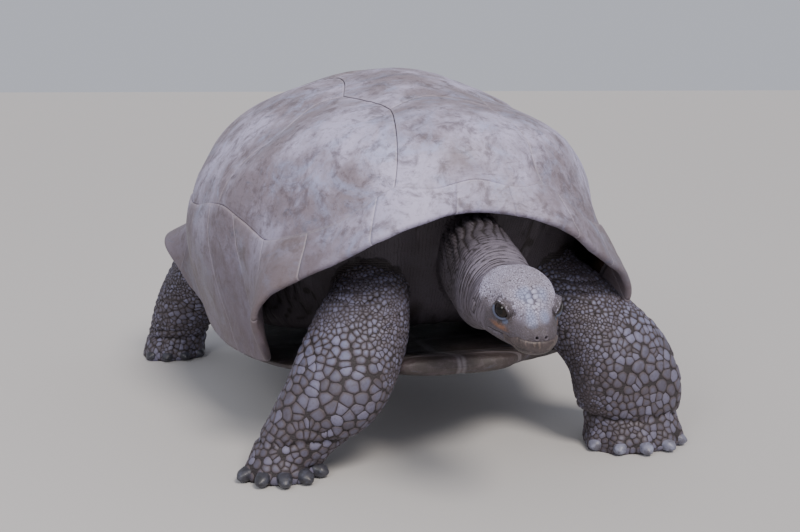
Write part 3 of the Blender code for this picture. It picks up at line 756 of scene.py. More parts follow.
def tube_mesh(name, grid, number, hubs=(None, None)):
    """A closed tube as a mesh for joining, each end a fan round its hub; its faces carry its number."""
    rows, columns = grid.shape[:2]
    ends = [hub if hub is not None else ring.mean(axis=0) for hub, ring in zip(hubs, (grid[0], grid[-1]))]
    points = np.vstack([grid.reshape(-1, 3), ends])
    caps = end_fans(rows, columns, rows * columns, rows * columns + 1)
    faces = net(rows, columns, closed=True)[:, ::-1].tolist() + caps.tolist()
    mesh = bpy.data.meshes.new(name)
    mesh.from_pydata(points.tolist(), [], faces)
    work = bmesh.new()
    work.from_mesh(mesh)
    bmesh.ops.recalc_face_normals(work, faces=work.faces)
    work.to_mesh(mesh)
    work.free()
    for _ in range(TUBES):
        mesh.materials.append(None)
    mesh.polygons.foreach_set("material_index", np.full(len(mesh.polygons), number, np.int32))
    made = bpy.data.objects.new(name, mesh)
    bpy.context.collection.objects.link(made)
    return made


# ---- head and neck: one tube from inside the shell to the tip of the snout ----
NECK = (                              # x, y, z, half width, up, down, pitch in degrees
    (0.042, -0.240, 0.350, 0.062, 0.085, 0.085, -2), (0.033, -0.360, 0.355, 0.057, 0.085, 0.085, 1),
    (0.014, -0.470, 0.352, 0.056, 0.082, 0.082, 6), (0.008, -0.560, 0.333, 0.058, 0.075, 0.075, 12),
)
HEAD = (                              # ahead of the eyes, half width, top, underside
    (-0.085, 0.0560, 0.026, -0.080), (-0.060, 0.0605, 0.035, -0.076), (-0.035, 0.0605, 0.0385, -0.070),
    (-0.012, 0.0550, 0.0370, -0.066), (0.008, 0.0470, 0.0335, -0.062), (0.026, 0.0385, 0.0225, -0.057),
    (0.041, 0.0335, 0.0085, -0.053), (0.052, 0.0285, -0.0020, -0.0485), (0.0590, 0.0225, -0.0080, -0.0445),
    (0.0632, 0.0160, -0.0125, -0.0410), (0.0655, 0.0090, -0.0175, -0.0370),
    (0.0662, 0.0012, -0.0265, -0.0290),
)
head_up = np.array([0.0, -math.sin(HEAD_DOWN), math.cos(HEAD_DOWN)])


def head_rows():
    """The head's rows in the body's frame, each ring's middle a little below half its height."""
    rows = []
    for ahead, wide, top, low in HEAD:
        middle = 0.45 * top + 0.55 * low
        centre = HEAD_PLACE + nose_down * ahead + head_up * middle
        rows.append((*centre, wide, top - middle, middle - low, math.degrees(HEAD_DOWN)))
    return NECK + tuple(rows)


def in_head(points):
    """Body points told in the head's frame: to the left, ahead of the eyes and up."""
    away = points - HEAD_PLACE
    return np.stack([away[..., 0], away @ nose_down, away @ head_up], -1)


def from_head(left, ahead, up):
    """A point given in the head's frame, in the body's."""
    return HEAD_PLACE + np.array([1.0, 0, 0]) * left + nose_down * ahead + head_up * up


def head_tube():
    """Rings along the head and neck, closer together round the eyes and the nostrils."""
    rows = head_rows()
    places = np.linspace(0, len(rows) - 1, 900)
    table = through(rows, places)
    length = np.r_[0, np.cumsum(np.linalg.norm(np.diff(table[:, :5], axis=0), axis=1))]
    ahead = in_head(table[:, :3])[:, 1]

    def ring_gap(place):
        a = np.interp(place, places, ahead)
        eyes = np.exp(-((a - 0.008) / 0.020) ** 4)
        return 0.0030 - 0.0013 * ease(a, -0.15, -0.07) - 0.0008 * np.maximum(eyes, ease(a, 0.045, 0.055))

    def column_gap(angle):
        off = np.minimum(np.abs(angle - math.radians(24)), np.abs(angle - math.radians(156)))
        return 0.0026 - 0.0017 * np.exp(-(off / math.radians(21)) ** 4)

    at = spread(places, length, ring_gap)
    table = through(rows, at)
    turns = np.linspace(-math.pi / 2, 1.5 * math.pi, 721)
    angle = spread(turns, turns * 0.050, column_gap)[:-1]
    size = rounded(angle, FLESH_SQUARENESS)
    side = table[:, 3, None] * np.cos(angle) * size
    rise = np.sin(angle) * size
    rise = np.where(rise > 0, table[:, 4, None], table[:, 5, None]) * rise
    pitch = np.radians(table[:, 6])
    up = np.stack([0 * pitch, -np.sin(pitch), np.cos(pitch)], -1)
    grid = table[:, None, :3] + side[..., None] * np.array([1.0, 0, 0]) + up[:, None] * rise[..., None]
    return grid, angle, np.interp(at, places, length)


EYE_RADIUS = 0.0150
# where an eye looks, out from straight ahead and up, and the tilt of its opening, nose down
GAZE_OUT, GAZE_UP, LID_TILT = math.radians(54), math.radians(6), math.radians(-24)
LID_LONG, LID_HIGH = 0.0146, 0.0092    # half the opening's length and height, along the eyeball


def eye_frame(side):
    """An eye's middle, where it looks, the way to the nose along its lids, and up from them."""
    middle = from_head(side * EYE_OUT, EYE_AHEAD, 0.0)
    left = np.array([1.0, 0, 0]) * side
    gaze = unit((left * math.sin(GAZE_OUT) + nose_down * math.cos(GAZE_OUT)) * math.cos(GAZE_UP)
                + head_up * math.sin(GAZE_UP))
    nose_way = unit(nose_down - gaze * (nose_down @ gaze))
    up = unit(head_up - gaze * (head_up @ gaze))
    up = unit(up - nose_way * (up @ nose_way))
    return (middle, gaze, nose_way * math.cos(LID_TILT) + up * math.sin(LID_TILT),
            up * math.cos(LID_TILT) - nose_way * math.sin(LID_TILT))


def lid_place(points, side):
    """Each point seen from an eye's middle: how far from the lids' opening (1 on its edge), and how high.

    Both are told as arcs over the eyeball, so they stay the same while lids are drawn out or in.
    """
    middle, gaze, along, up = eye_frame(side)
    away = points - middle
    far = np.linalg.norm(away, axis=-1)
    toward = np.clip(away @ gaze / far, -1, 1)
    arc = EYE_RADIUS * np.arccos(toward) / np.sqrt(np.maximum(1 - toward ** 2, 1e-8)) / far
    x, y = away @ along * arc, away @ up * arc
    reach = (np.abs(x / LID_LONG) ** 1.8 + np.abs(y / LID_HIGH) ** 1.8) ** (1 / 1.8)
    return np.where((toward > 0.0) & (far < 0.030), reach, 9.0), y / LID_HIGH


def lid_margin(points, side):
    """Metres past the edge of an eye's lids, over the lids and away from them, and how high."""
    reach, high = lid_place(points, side)
    past = np.linalg.norm(points - eye_frame(side)[0], axis=-1) - EYE_RADIUS - 0.0058
    return (reach - 1) * (LID_LONG + LID_HIGH) / 2 + 1.8 * np.maximum(past, 0), high


def bump_at(place, ahead, left, up, radii):
    """1 at a spot of the head on both sides, fading as a bell with these radii ahead, aside and up."""
    a = (place[..., 1] - ahead) / radii[0]
    b = (np.abs(place[..., 0]) - left) / radii[1]
    c = (place[..., 2] - up) / radii[2]
    return np.exp(-(a * a + b * b + c * c))


def head_marks(points):
    """The head's markings as values: blue-grey over the brows and a rusty band under the eyes, with painted
    shade over the lower head and under the snout.
    """
    place = in_head(points)
    ahead, up = place[..., 1], place[..., 2]
    wander = ripple(points.reshape(-1, 3), 0.022, 96).reshape(up.shape)
    blue = bump_at(place, 0.020, 0.014, 0.030, (0.017, 0.018, 0.014)) + bump_at(
        place, 0.045, 0.010, 0.008, (0.014, 0.012, 0.015))
    warm = bump_at(place, 0.014, 0.042, -0.0215, (0.024, 0.018, 0.0055))
    # painted shade: darker over the lower head, below the eyes, and under the tip of the snout
    painted_head_shade = 1 - ease(up + 0.006 * wander, -0.014, 0.010)
    painted_head_shade = np.maximum(painted_head_shade, ease(ahead + 0.004 * wander, 0.046, 0.056) * (1 - ease(up, -0.006, 0.006)))
    painted_head_shade = painted_head_shade * ease(ahead, -0.14, -0.09)
    return {"blue": np.minimum(blue + 0.25 * wander * (blue > 0.2), 1), "warm": warm, "painted_head_shade": painted_head_shade}


def mouth_height(ahead):
    """Height of the line between the jaws: level at the beak, dropping a little to the corner."""
    return -0.0345 - 0.0030 * ease(ahead, 0.030, 0.066) - 0.0020 * ease(0.020 - ahead, 0.0, 0.02)


def beak_cover(ahead, up):
    """Metres inside the edge of the beak's horn; below 0 where skin covers the snout."""
    lips = up - mouth_height(ahead)
    high = 0.0050 + 0.0095 * ease(ahead, 0.034, 0.054)
    low = 0.0040 + 0.0065 * ease(ahead, 0.034, 0.054)
    return np.minimum(np.where(lips > 0, high - lips, low + lips), ahead - 0.024)


def sculpt_head(grid, angle, length):
    """The forms of head and neck: brows, cheeks, jaw, lips, nostrils, folds, then lids round the eyes."""
    normal = grid_normals(grid)
    place = in_head(grid)
    side, ahead, up = np.abs(place[..., 0]), place[..., 1], place[..., 2]
    flat = grid.reshape(-1, 3)
    slow = ripple(flat, 0.055, 41).reshape(side.shape)
    quick = ripple(flat, 0.020, 42).reshape(side.shape)
    push = -0.0012 + 0 * side
    push = push + 0.0030 * bump_at(place, 0.006, 0.036, 0.021, (0.019, 0.010, 0.008))     # brow
    push = push - 0.0040 * bump_at(place, 0.036, 0.031, 0.000, (0.012, 0.013, 0.011))     # before the eye
    push = push - 0.0030 * bump_at(place, -0.018, 0.053, 0.006, (0.014, 0.012, 0.010))    # behind the eye
    push = push + 0.0028 * bump_at(place, 0.014, 0.043, -0.021, (0.022, 0.014, 0.006))    # cheekbone
    push = push + 0.0040 * bump_at(place, -0.044, 0.058, -0.030, (0.026, 0.022, 0.026))   # jaw muscle
    push = push - 0.0028 * bump_at(place, 0.022, 0.0, 0.031, (0.026, 0.006, 0.02))        # between brows
    push = push + 0.0016 * bump_at(place, 0.058, 0.0075, -0.012, (0.012, 0.006, 0.006))   # round the nostrils
    push = push - 0.0030 * bump_at(place, 0.046, 0.0, -0.056, (0.02, 0.03, 0.010))        # under the chin
    ear = np.hypot(ahead + 0.047, up + 0.022) / 0.0095
    push = push + (0.0007 * (ear < 1) - 0.0016 * np.exp(-((ear - 1) / 0.22) ** 2)) * (side > 0.03)
    lips = up - mouth_height(ahead)
    shut = ease(ahead, -0.012, 0.004) * ease(side, 0.0, 0.004)
    push = push - 0.0042 * shut * np.exp(-(lips / 0.0016) ** 2)
    push = push + 0.0012 * shut * np.exp(-((lips - 0.0055) / 0.0035) ** 2)
    push = push + 0.0010 * shut * np.exp(-((lips + 0.0060) / 0.0035) ** 2)
    hole = np.hypot(side - 0.0068, up + 0.0165)
    push = push - 0.0060 * np.exp(-(hole / 0.0018) ** 4) * ease(ahead, 0.046, 0.054)
    push = push - 0.0024 * ease(beak_cover(ahead, up), -0.0004, 0.0010)
    push = push + 0.0009 * np.exp(-((hole - 0.0036) / 0.0014) ** 2) * ease(ahead, 0.048, 0.056)

    # rings of slack hide round the cheek and behind the head, bent back where they pass the jaw
    bend = ahead + 0.10 * np.maximum(up + 0.020, -0.05) ** 2 / 0.05 + 0.004 * slow + 0.0012 * quick
    ridge = np.abs(np.sin(math.pi * bend / 0.0078))
    smooth_crown = 1 - 0.65 * ease(up, -0.004, 0.020) * (ahead > -0.078)
    where = ease(-ahead, 0.010, 0.036) * (1 - ease(-ahead, 0.16, 0.21)) * smooth_crown
    where = where * (0.55 + 0.45 * np.clip(slow, -1, 1))
    push = push - (0.0022 * (1 - ridge) ** 1.6 + 0.0006 * quick) * where
    # the neck's long folds, deepest on top, where the hide bunches in front of the shell
    turn = angle[None] + 0.05 * slow + 0.35 * np.sin(length[:, None] * 14)
    fold = np.abs(np.sin(turn * 11 + 1.2 * slow)) ** 0.8
    back = ease(-ahead, 0.13, 0.20)
    on_top = 0.35 + 0.65 * ease(np.sin(angle), -0.4, 0.6)[None]
    push = push - (0.0060 * (1 - fold) + 0.0014 * quick) * back * on_top
    small = np.abs(np.sin(math.pi * (length[:, None] + 0.006 * slow + 0.002 * quick) / 0.011))
    push = push - 0.0016 * (1 - small) ** 2 * back
    grid = grid + normal * push[..., None]

    for way in (1, -1):
        middle = eye_frame(way)[0]
        reach, high = lid_place(grid, way)
        away = grid - middle
        far = np.linalg.norm(away, axis=-1)
        margin = (reach - 1) * (LID_LONG + LID_HIGH) / 2          # metres out from the lids' edge
        lid = EYE_RADIUS + 0.0016 + 0.0020 * ease(high, 0.0, 1.0) + 0.0004 * ease(-high, 0.2, 1.0)
        lid = lid + 0.0006 * np.exp(-((margin - 0.0014) / 0.0012) ** 2)
        for crease, deep in ((0.0036, 0.0009), (0.0064, 0.0008), (0.0092, 0.0010)):
            lid = lid - deep * np.exp(-((margin - crease) / 0.0009) ** 2)
        target = EYE_RADIUS - 0.0040 + (lid - EYE_RADIUS + 0.0040) * ease(margin, -0.0009, 0.0004)
        keep = (1 - ease(margin, 0.0070, 0.0150)) * (1 - ease(far, 0.0205, 0.0290))
        moved = middle + away / far[..., None] * (far + (target - far) * keep)[..., None]
        grid = np.where((reach < 8)[..., None], moved, grid)
    return grid


head_grid = sculpt_head(*head_tube())
legs = {
    "front_right": creased_leg(FRONT_RIGHT, 0.064, 0.0026, (0.16, 0.24), 0.0035, FRONT_CLAW_ANGLES),
    "front_left": creased_leg(FRONT_LEFT, 0.058, 0.0026, (0.18, 0.25), 0.0035, FRONT_CLAW_ANGLES),
    "hind_right": creased_leg(HIND_RIGHT, 0.050, 0.0022, (0.045, 0.07), 0.0050, HIND_CLAW_ANGLES),
    "hind_left": creased_leg(HIND_LEFT, 0.050, 0.0022, (0.045, 0.07), 0.0050, HIND_CLAW_ANGLES),
}


def tail_tube():
    """The tail, a drooping cone with rings of slack hide."""
    places = np.linspace(0, len(TAIL) - 1, 300)
    table = through(TAIL, places)
    table = through(TAIL, spread(places, run_along(table), lambda place: 0.0042 + 0 * place))
    centre = table[:, :3]
    along = unit(np.gradient(centre, axis=0))
    across = unit(np.array([1.0, 0, 0]) - along * along[:, :1])
    deep = np.cross(along, across)
    angle = np.linspace(0, 2 * math.pi, 48, endpoint=False)
    shape = np.cos(angle)[None, :, None] * across[:, None] * table[:, 3, None, None]
    shape = shape + np.sin(angle)[None, :, None] * deep[:, None] * table[:, 4, None, None]
    grid = centre[:, None] + shape
    slow = ripple(grid.reshape(-1, 3), 0.05, 51).reshape(grid.shape[:2])
    run = run_along(centre)[:, None]
    ridge = np.abs(np.sin(math.pi * (run + 0.004 * slow) / 0.013))
    push = -0.0016 - 0.0022 * (1 - ridge) ** 2 * ease(0.24 - run, 0.0, 0.1)
    return grid + grid_normals(grid) * push[..., None]


def trunk_tube():
    """The body inside the shell, as rings from high in the dome down over the walls to the belly."""
    columns = 620
    degrees = np.arange(columns) * 360 / columns - 180
    steps = (0.70, 0.76, 0.80)
    rings = []
    for step in steps:
        spot, out = shell_at(polar(degrees, np.full(columns, step)))
        rings.append(spot - out * (SHELL_THICKNESS + 0.002))
    walls = ((0.362, 0.424, 0.445, 2.1, 0.420, 0.310, 0.350, 0.05),
             (0.342, 0.354, 0.395, 2.1, 0.290, 0.215, 0.250, 0.05),
             (0.296, 0.284, 0.325, 2.2, 0.170, 0.170, 0.172, 0.00))
    rings += [oval(row, degrees) for row in walls]
    rings = np.array(rings)
    at = np.linspace(0, len(rings) - 1, 46)
    grid = through(rings.reshape(len(rings), -1), at).reshape(len(at), columns, 3)
    normal = grid_normals(grid)
    slow = ripple(grid.reshape(-1, 3), 0.07, 61).reshape(grid.shape[:2])
    quick = ripple(grid.reshape(-1, 3), 0.025, 62).reshape(grid.shape[:2])
    lean = np.radians(degrees)[None] * 44 + 3.2 * slow + 0.7 * quick + at[:, None] * 1.5
    push = 0.005 * slow - 0.0050 * (1 - np.abs(np.sin(lean))) ** 1.3
    push = push - 0.004 * np.abs(np.sin(lean * 0.37)) ** 3
    return grid + normal * (push * ease(at, 1.8, 2.6)[:, None])[..., None]


PLEAT = 0.0050                # width of one of the hide's fine pleats


def wrinkled_hide(name):
    """Keratinised hide: mauve-grey, paler on its ridges as painted light and darker in every fold as painted
    shade, dark brown between the scales, and darkened as painted shade under the shell's front and low on
    the head. Fine pleats run across the folds, and a net of creases a few millimetres wide covers it."""
    material, shader = new_material(name, 0.62, 1.45)
    place = add_node(material, "TexCoord", {}, 3)
    hollow, scaled, pleat, pleated, lower_lid, lids, warm, blue, painted_head_shade = (
        add_node(material, "Attribute", {}, 2, attribute_name=name) for name in (
            "hollow", "scaled", "pleat", "pleated", "lower_lid", "lids", "warm", "blue", "painted_head_shade"))
    # y, which sets the painted shade under the shell
    behind = add_node(material, "SeparateXYZ", {0: place}, 1)
    broad = add_node(material, "TexNoise", {"Vector": place, "Scale": 9.0, "Detail": 6.0, "Roughness": 0.6})
    bent = add_node(material, "TexNoise", {"Vector": place, "Scale": 34.0, "Detail": 4.0, "Roughness": 0.55})
    drift = add_node(material, "Math", {0: bent, 1: 9.0}, operation="MULTIPLY")
    phase = add_node(material, "Math", {0: pleat, 1: 2 * math.pi / PLEAT, 2: drift}, operation="MULTIPLY_ADD")
    wave = add_node(material, "Math", {0: phase}, operation="SINE")
    deep = add_node(material, "MapRange", {0: wave, 1: -0.35, 2: -1.0, 3: 0.0, 4: 1.0},
                    interpolation_type="SMOOTHSTEP")
    broken = add_node(material, "TexNoise", {"Vector": place, "Scale": 55.0, "Detail": 3.0})
    whole = add_node(material, "MapRange", {0: broken, 1: 0.38, 2: 0.56, 3: 0.0, 4: 1.0})
    line = add_node(material, "Math", {0: deep, 1: whole}, operation="MULTIPLY")
    line = add_node(material, "Math", {0: line, 1: pleated}, operation="MULTIPLY")
    shifted = add_node(material, "Mapping", {"Vector": place, "Scale": (300, 300, 200)})
    net_lines = add_node(material, "TexVoronoi", {"Vector": shifted, "Scale": 1.0}, 0,
                         feature="DISTANCE_TO_EDGE")
    fine = add_node(material, "TexNoise", {"Vector": place, "Scale": 380.0, "Detail": 5.0, "Roughness": 0.7})
    layers = (
        (broad, 0.40, 0.62, 0.60, "#5f5760"), (fine, 0.50, 0.72, 0.35, "#857c85"),
        # the hollow layers: paler on ridges as painted light, darker in folds as painted shade
        (hollow, 0.02, -0.12, 0.45, "#8a828f"), (net_lines, 0.08, 0.01, 0.35, "#40383a"),
        (hollow, 0.04, 0.30, 0.70, "#2c2626"), (line, 0.0, 1.0, 0.72, "#2d2727"),
        (scaled, 0.0, 1.0, 0.80, "#2f2829"), (lids, 0.0, 1.0, 0.85, "#37302f"),
        # painted shade over the lower head
        (painted_head_shade, 0.0, 1.0, 0.50, "#41383a"), (lower_lid, 0.0, 1.0, 0.75, "#59617a"),
        (warm, 0.25, 0.9, 0.60, "#7d5336"), (blue, 0.2, 0.8, 0.50, "#6d7796"),
        (hollow, 0.05, 0.30, 0.60, "#2a2425"),
        # painted shade: the hide darkens from y -0.52 back to -0.43 and stays dark further back, under the
        # shell
        (behind, -0.52, -0.43, 0.75, "#292324"),
    )
    tinted(material, shader, "#7b7484", layers)
    raised = add_node(material, "MapRange", {0: net_lines, 1: 0.0, 2: 0.15, 3: 0.0, 4: 0.45})
    height = add_node(material, "Math", {0: fine, 1: 0.25, 2: raised}, operation="MULTIPLY_ADD")
    height = add_node(material, "Math", {0: line, 1: -1.6, 2: height}, operation="MULTIPLY_ADD")
    roughened(material, shader, height, 0.9, 0.0008)
    return material


tail_grid = tail_tube()
trunk_grid = trunk_tube()
flesh = tube_mesh("flesh", trunk_grid, 0)
tubes = [tube_mesh("neck_and_head", head_grid, 1, (None, from_head(0, 0.0672, -0.027))),
         tube_mesh("tail_flesh", tail_grid, 2)]
tubes += [tube_mesh(name + "_leg", grid, 3 + number) for number, (name, grid) in enumerate(legs.items())]
for tube in tubes:
    join = flesh.modifiers.new(tube.name, "BOOLEAN")
    join.operation = "UNION"
    join.solver = "MANIFOLD"
    join.object = tube
whole = bpy.data.meshes.new_from_object(flesh.evaluated_get(bpy.context.evaluated_depsgraph_get()))
work = bmesh.new()
work.from_mesh(whole)
bmesh.ops.triangulate(work, faces=work.faces)
work.to_mesh(whole)
work.free()


def read_all(items, key, width, kind):
    """One property of all a mesh's points, edges, corners or faces, as an array of rows this wide."""
    found = np.zeros(len(items) * width, kind)
    items.foreach_get(key, found)
    return found.reshape(-1, width)


spots = read_all(whole.vertices, "co", 3, float)
edges = read_all(whole.edges, "vertices", 2, int)
triangles = read_all(whole.loops, "vertex_index", 1, int).reshape(-1, 3)
part = read_all(whole.polygons, "material_index", 1, np.int32)[:, 0]


def near_joins(part, triangles, edges, count, spread_steps):
    """1 on the points where two tubes meet, fading over the edges that lead away from them."""
    high, low = np.zeros(count), np.full(count, 99.0)
    np.maximum.at(high, triangles.ravel(), np.repeat(part, 3))
    np.minimum.at(low, triangles.ravel(), np.repeat(part, 3))
    mask = (high > low).astype(float)
    for _ in range(spread_steps):
        grown = mask.copy()
        np.maximum.at(grown, edges[:, 0], mask[edges[:, 1]] - 1 / spread_steps)
        np.maximum.at(grown, edges[:, 1], mask[edges[:, 0]] - 1 / spread_steps)
        mask = grown
    return mask


def neighbour_mean(spots, edges):
    """The mean of the points that each point is joined to."""
    links = np.maximum(np.bincount(edges.ravel(), minlength=len(spots)), 1)[:, None]
    total = [np.bincount(edges[:, 0], spots[edges[:, 1], axis], len(spots))
             + np.bincount(edges[:, 1], spots[edges[:, 0], axis], len(spots)) for axis in range(3)]
    return np.stack(total, -1) / links


def rubbed(spots, edges, mask, passes):
    """Points drawn part of the way to the mean of their neighbours, over and over, where mask says."""
    for _ in range(passes):
        spots = spots + 0.6 * mask[:, None] * (neighbour_mean(spots, edges) - spots)
    return spots


joins = near_joins(part, triangles, edges, len(spots), 10)
spots = rubbed(spots, edges, joins, 40)
for tube in [flesh] + tubes:
    bpy.data.objects.remove(tube, do_unlink=True)
mean = neighbour_mean(spots, edges)
first, second, third = (spots[triangles[:, corner]] for corner in range(3))
facing = np.cross(second - first, third - first)
out = unit(np.stack([np.bincount(triangles.ravel(), np.repeat(facing[:, axis], 3), len(spots))
                     for axis in range(3)], -1))

# what the hide's finish follows, point by point: the depth of the fold it lies in, in millimetres, the
# growth of scales over it, and the run and the depth of its fine pleats
hollow = ((mean - spots) * out).sum(axis=1) * 1000
paths = [through(rows, np.linspace(0, len(rows) - 1, 40))[:, :3] for rows in
         (FRONT_RIGHT, FRONT_LEFT, HIND_RIGHT, HIND_LEFT)]
to_leg = np.sqrt(((spots[:, None] - np.vstack(paths)[None]) ** 2).sum(-1).min(axis=1))
scaled = (1 - ease(to_leg, 0.085, 0.105)) * (1 - ease(spots[:, 2], 0.24, 0.28))
place = in_head(spots)
which = np.zeros(len(spots))
np.maximum.at(which, triangles.ravel(), np.repeat(part, 3))
hollow = np.where(which == 0, 0.3 * hollow, hollow)
back = ease(-place[:, 1], 0.12, 0.20)
slow = ripple(spots, 0.055, 41)
bend = place[:, 1] + 0.10 * np.maximum(place[:, 2] + 0.020, -0.05) ** 2 / 0.05 + 0.004 * slow
turn = np.arctan2(spots[:, 0] - 0.03, spots[:, 2] - 0.36) * 0.065
body_turn = np.arctan2(spots[:, 0], -spots[:, 1]) * 0.34
pleat = np.where(which == 1, bend + (turn - bend) * back, np.where(which == 0, body_turn, 1.3 * spots[:, 2]))
smooth_crown = 1 - 0.8 * ease(place[:, 2], 0.010, 0.030) * (place[:, 1] > -0.075)
pleated = np.where(which == 0, 0.45, 0.8)
pleated = np.where(which == 1, ease(-place[:, 1], 0.008, 0.030) * smooth_crown, pleated)
pleated = pleated * (1 - 0.7 * scaled)
lower_lid, lids = np.zeros(len(spots)), np.zeros(len(spots))
for way in (1, -1):
    margin, high = lid_margin(spots, way)
    lids = np.maximum(lids, 1 - ease(margin, 0.006, 0.011))
    lower_lid = np.maximum(lower_lid, ease(-high, 0.15, 0.5) * (1 - ease(margin, 0.0050, 0.0070)))
markings = {key: value * (which == 1) for key, value in head_marks(spots).items()}
flesh_nodes = ["trunk", "neck", "tail", "skull", "face", "jaw"]
flesh_nodes += [f"{end}_{part}_{side}" for end in ("front", "hind") for part in ("leg", "foot")
                for side in ("left", "right")]
make_piece("skin", spots, [triangles], wrinkled_hide("wrinkled_hide"), flesh_nodes,
           {"hollow": hollow, "scaled": scaled, "pleat": pleat, "pleated": pleated, "lower_lid": lower_lid,
            "lids": lids, **markings})


# ==== scales: horny plates over the hide of legs, tail, neck and head ====
# Each scale is a low dome of keratin rooted in the hide, parted from its neighbours by a dark crack.
# They pack like cells: places drawn as densely as their size asks, each then moved to the middle of
# its own patch, and its outline cut off midway to every neighbour.
def on_tube(grid, u, v):
    """Points of a closed tube at these places, counted in rings and columns."""
    rows, columns = grid.shape[:2]
    i = np.clip(u.astype(int), 0, rows - 2)
    a = np.clip(u - i, 0, 1)[..., None]
    j = np.floor(v).astype(int)
    b = (v - j)[..., None]
    j, k = j % columns, (j + 1) % columns
    ring, next_ring = ((1 - b) * grid[row, j] + b * grid[row, k] for row in (i, i + 1))
    return (1 - a) * ring + a * next_ring


def nearest_of(points, others, count=1, margin=0.045):
    """Index of the nearest other point (or the nearest count of them) to each point, block by block.

    Both are sorted along their longest extent, so that a block looks only a margin past its own ends.
    """
    axis = np.ptp(others, axis=0).argmax()
    order, other_order = np.argsort(points[:, axis]), np.argsort(others[:, axis])
    line = others[other_order, axis]
    found = np.zeros((len(points), count), int)
    for block in np.array_split(order, max(len(points) // 1500, 1)):
        low, high = points[block[0], axis] - margin, points[block[-1], axis] + margin
        low, high = np.searchsorted(line, low), np.searchsorted(line, high)
        low, high = min(low, max(len(line) - 2 * count, 0)), max(high, min(2 * count, len(line)))
        window = other_order[low:high]
        near = others[window].astype(np.float32)
        away = (near ** 2).sum(axis=1) - 2 * points[block].astype(np.float32) @ near.T
        if count == 1:
            close = away.argmin(axis=1)[:, None]
        else:
            close = np.argpartition(away, count, axis=1)[:, :count]
        found[block] = window[close]
    return found[:, 0] if count == 1 else found


def scale_places(grid, size_at, seed, passes=3):
    """Places for scales on a tube, as rings and columns: random, then evened out in a few passes."""
    columns = grid.shape[1]
    after = np.roll(grid, -1, axis=1)
    area = np.linalg.norm(np.cross(grid[1:] - grid[:-1], after[:-1] - grid[:-1]), axis=-1)
    wanted = area / (0.80 * size_at((grid[:-1] + after[1:]) / 2) ** 2)
    count = int(wanted.sum())
    draw = np.random.default_rng(seed)
    row, column = np.divmod(draw.choice(area.size, size=count * 10, p=wanted.ravel() / wanted.sum()), columns)
    u, v = row + draw.random(len(row)), column + draw.random(len(row))
    spots = on_tube(grid, u, v)
    chosen = np.arange(count) * 10
    for _ in range(passes):
        owner = nearest_of(spots, spots[chosen])
        number = np.maximum(np.bincount(owner, minlength=count), 1)
        mean = np.stack([np.bincount(owner, spots[:, axis], count) / number for axis in range(3)], -1)
        order = np.lexsort((((spots - mean[owner]) ** 2).sum(axis=1), owner))
        chosen = order[np.unique(owner[order], return_index=True)[1]]
        count = len(chosen)
    return u[chosen], v[chosen]


NEIGHBOURS = 15               # places that can cut a scale's outline
SCALE_ROOT = 0.0016           # how deep a scale is sunk in the hide
PATCH_RADIUS = 0.0015         # of a scale's own patch in its texture map


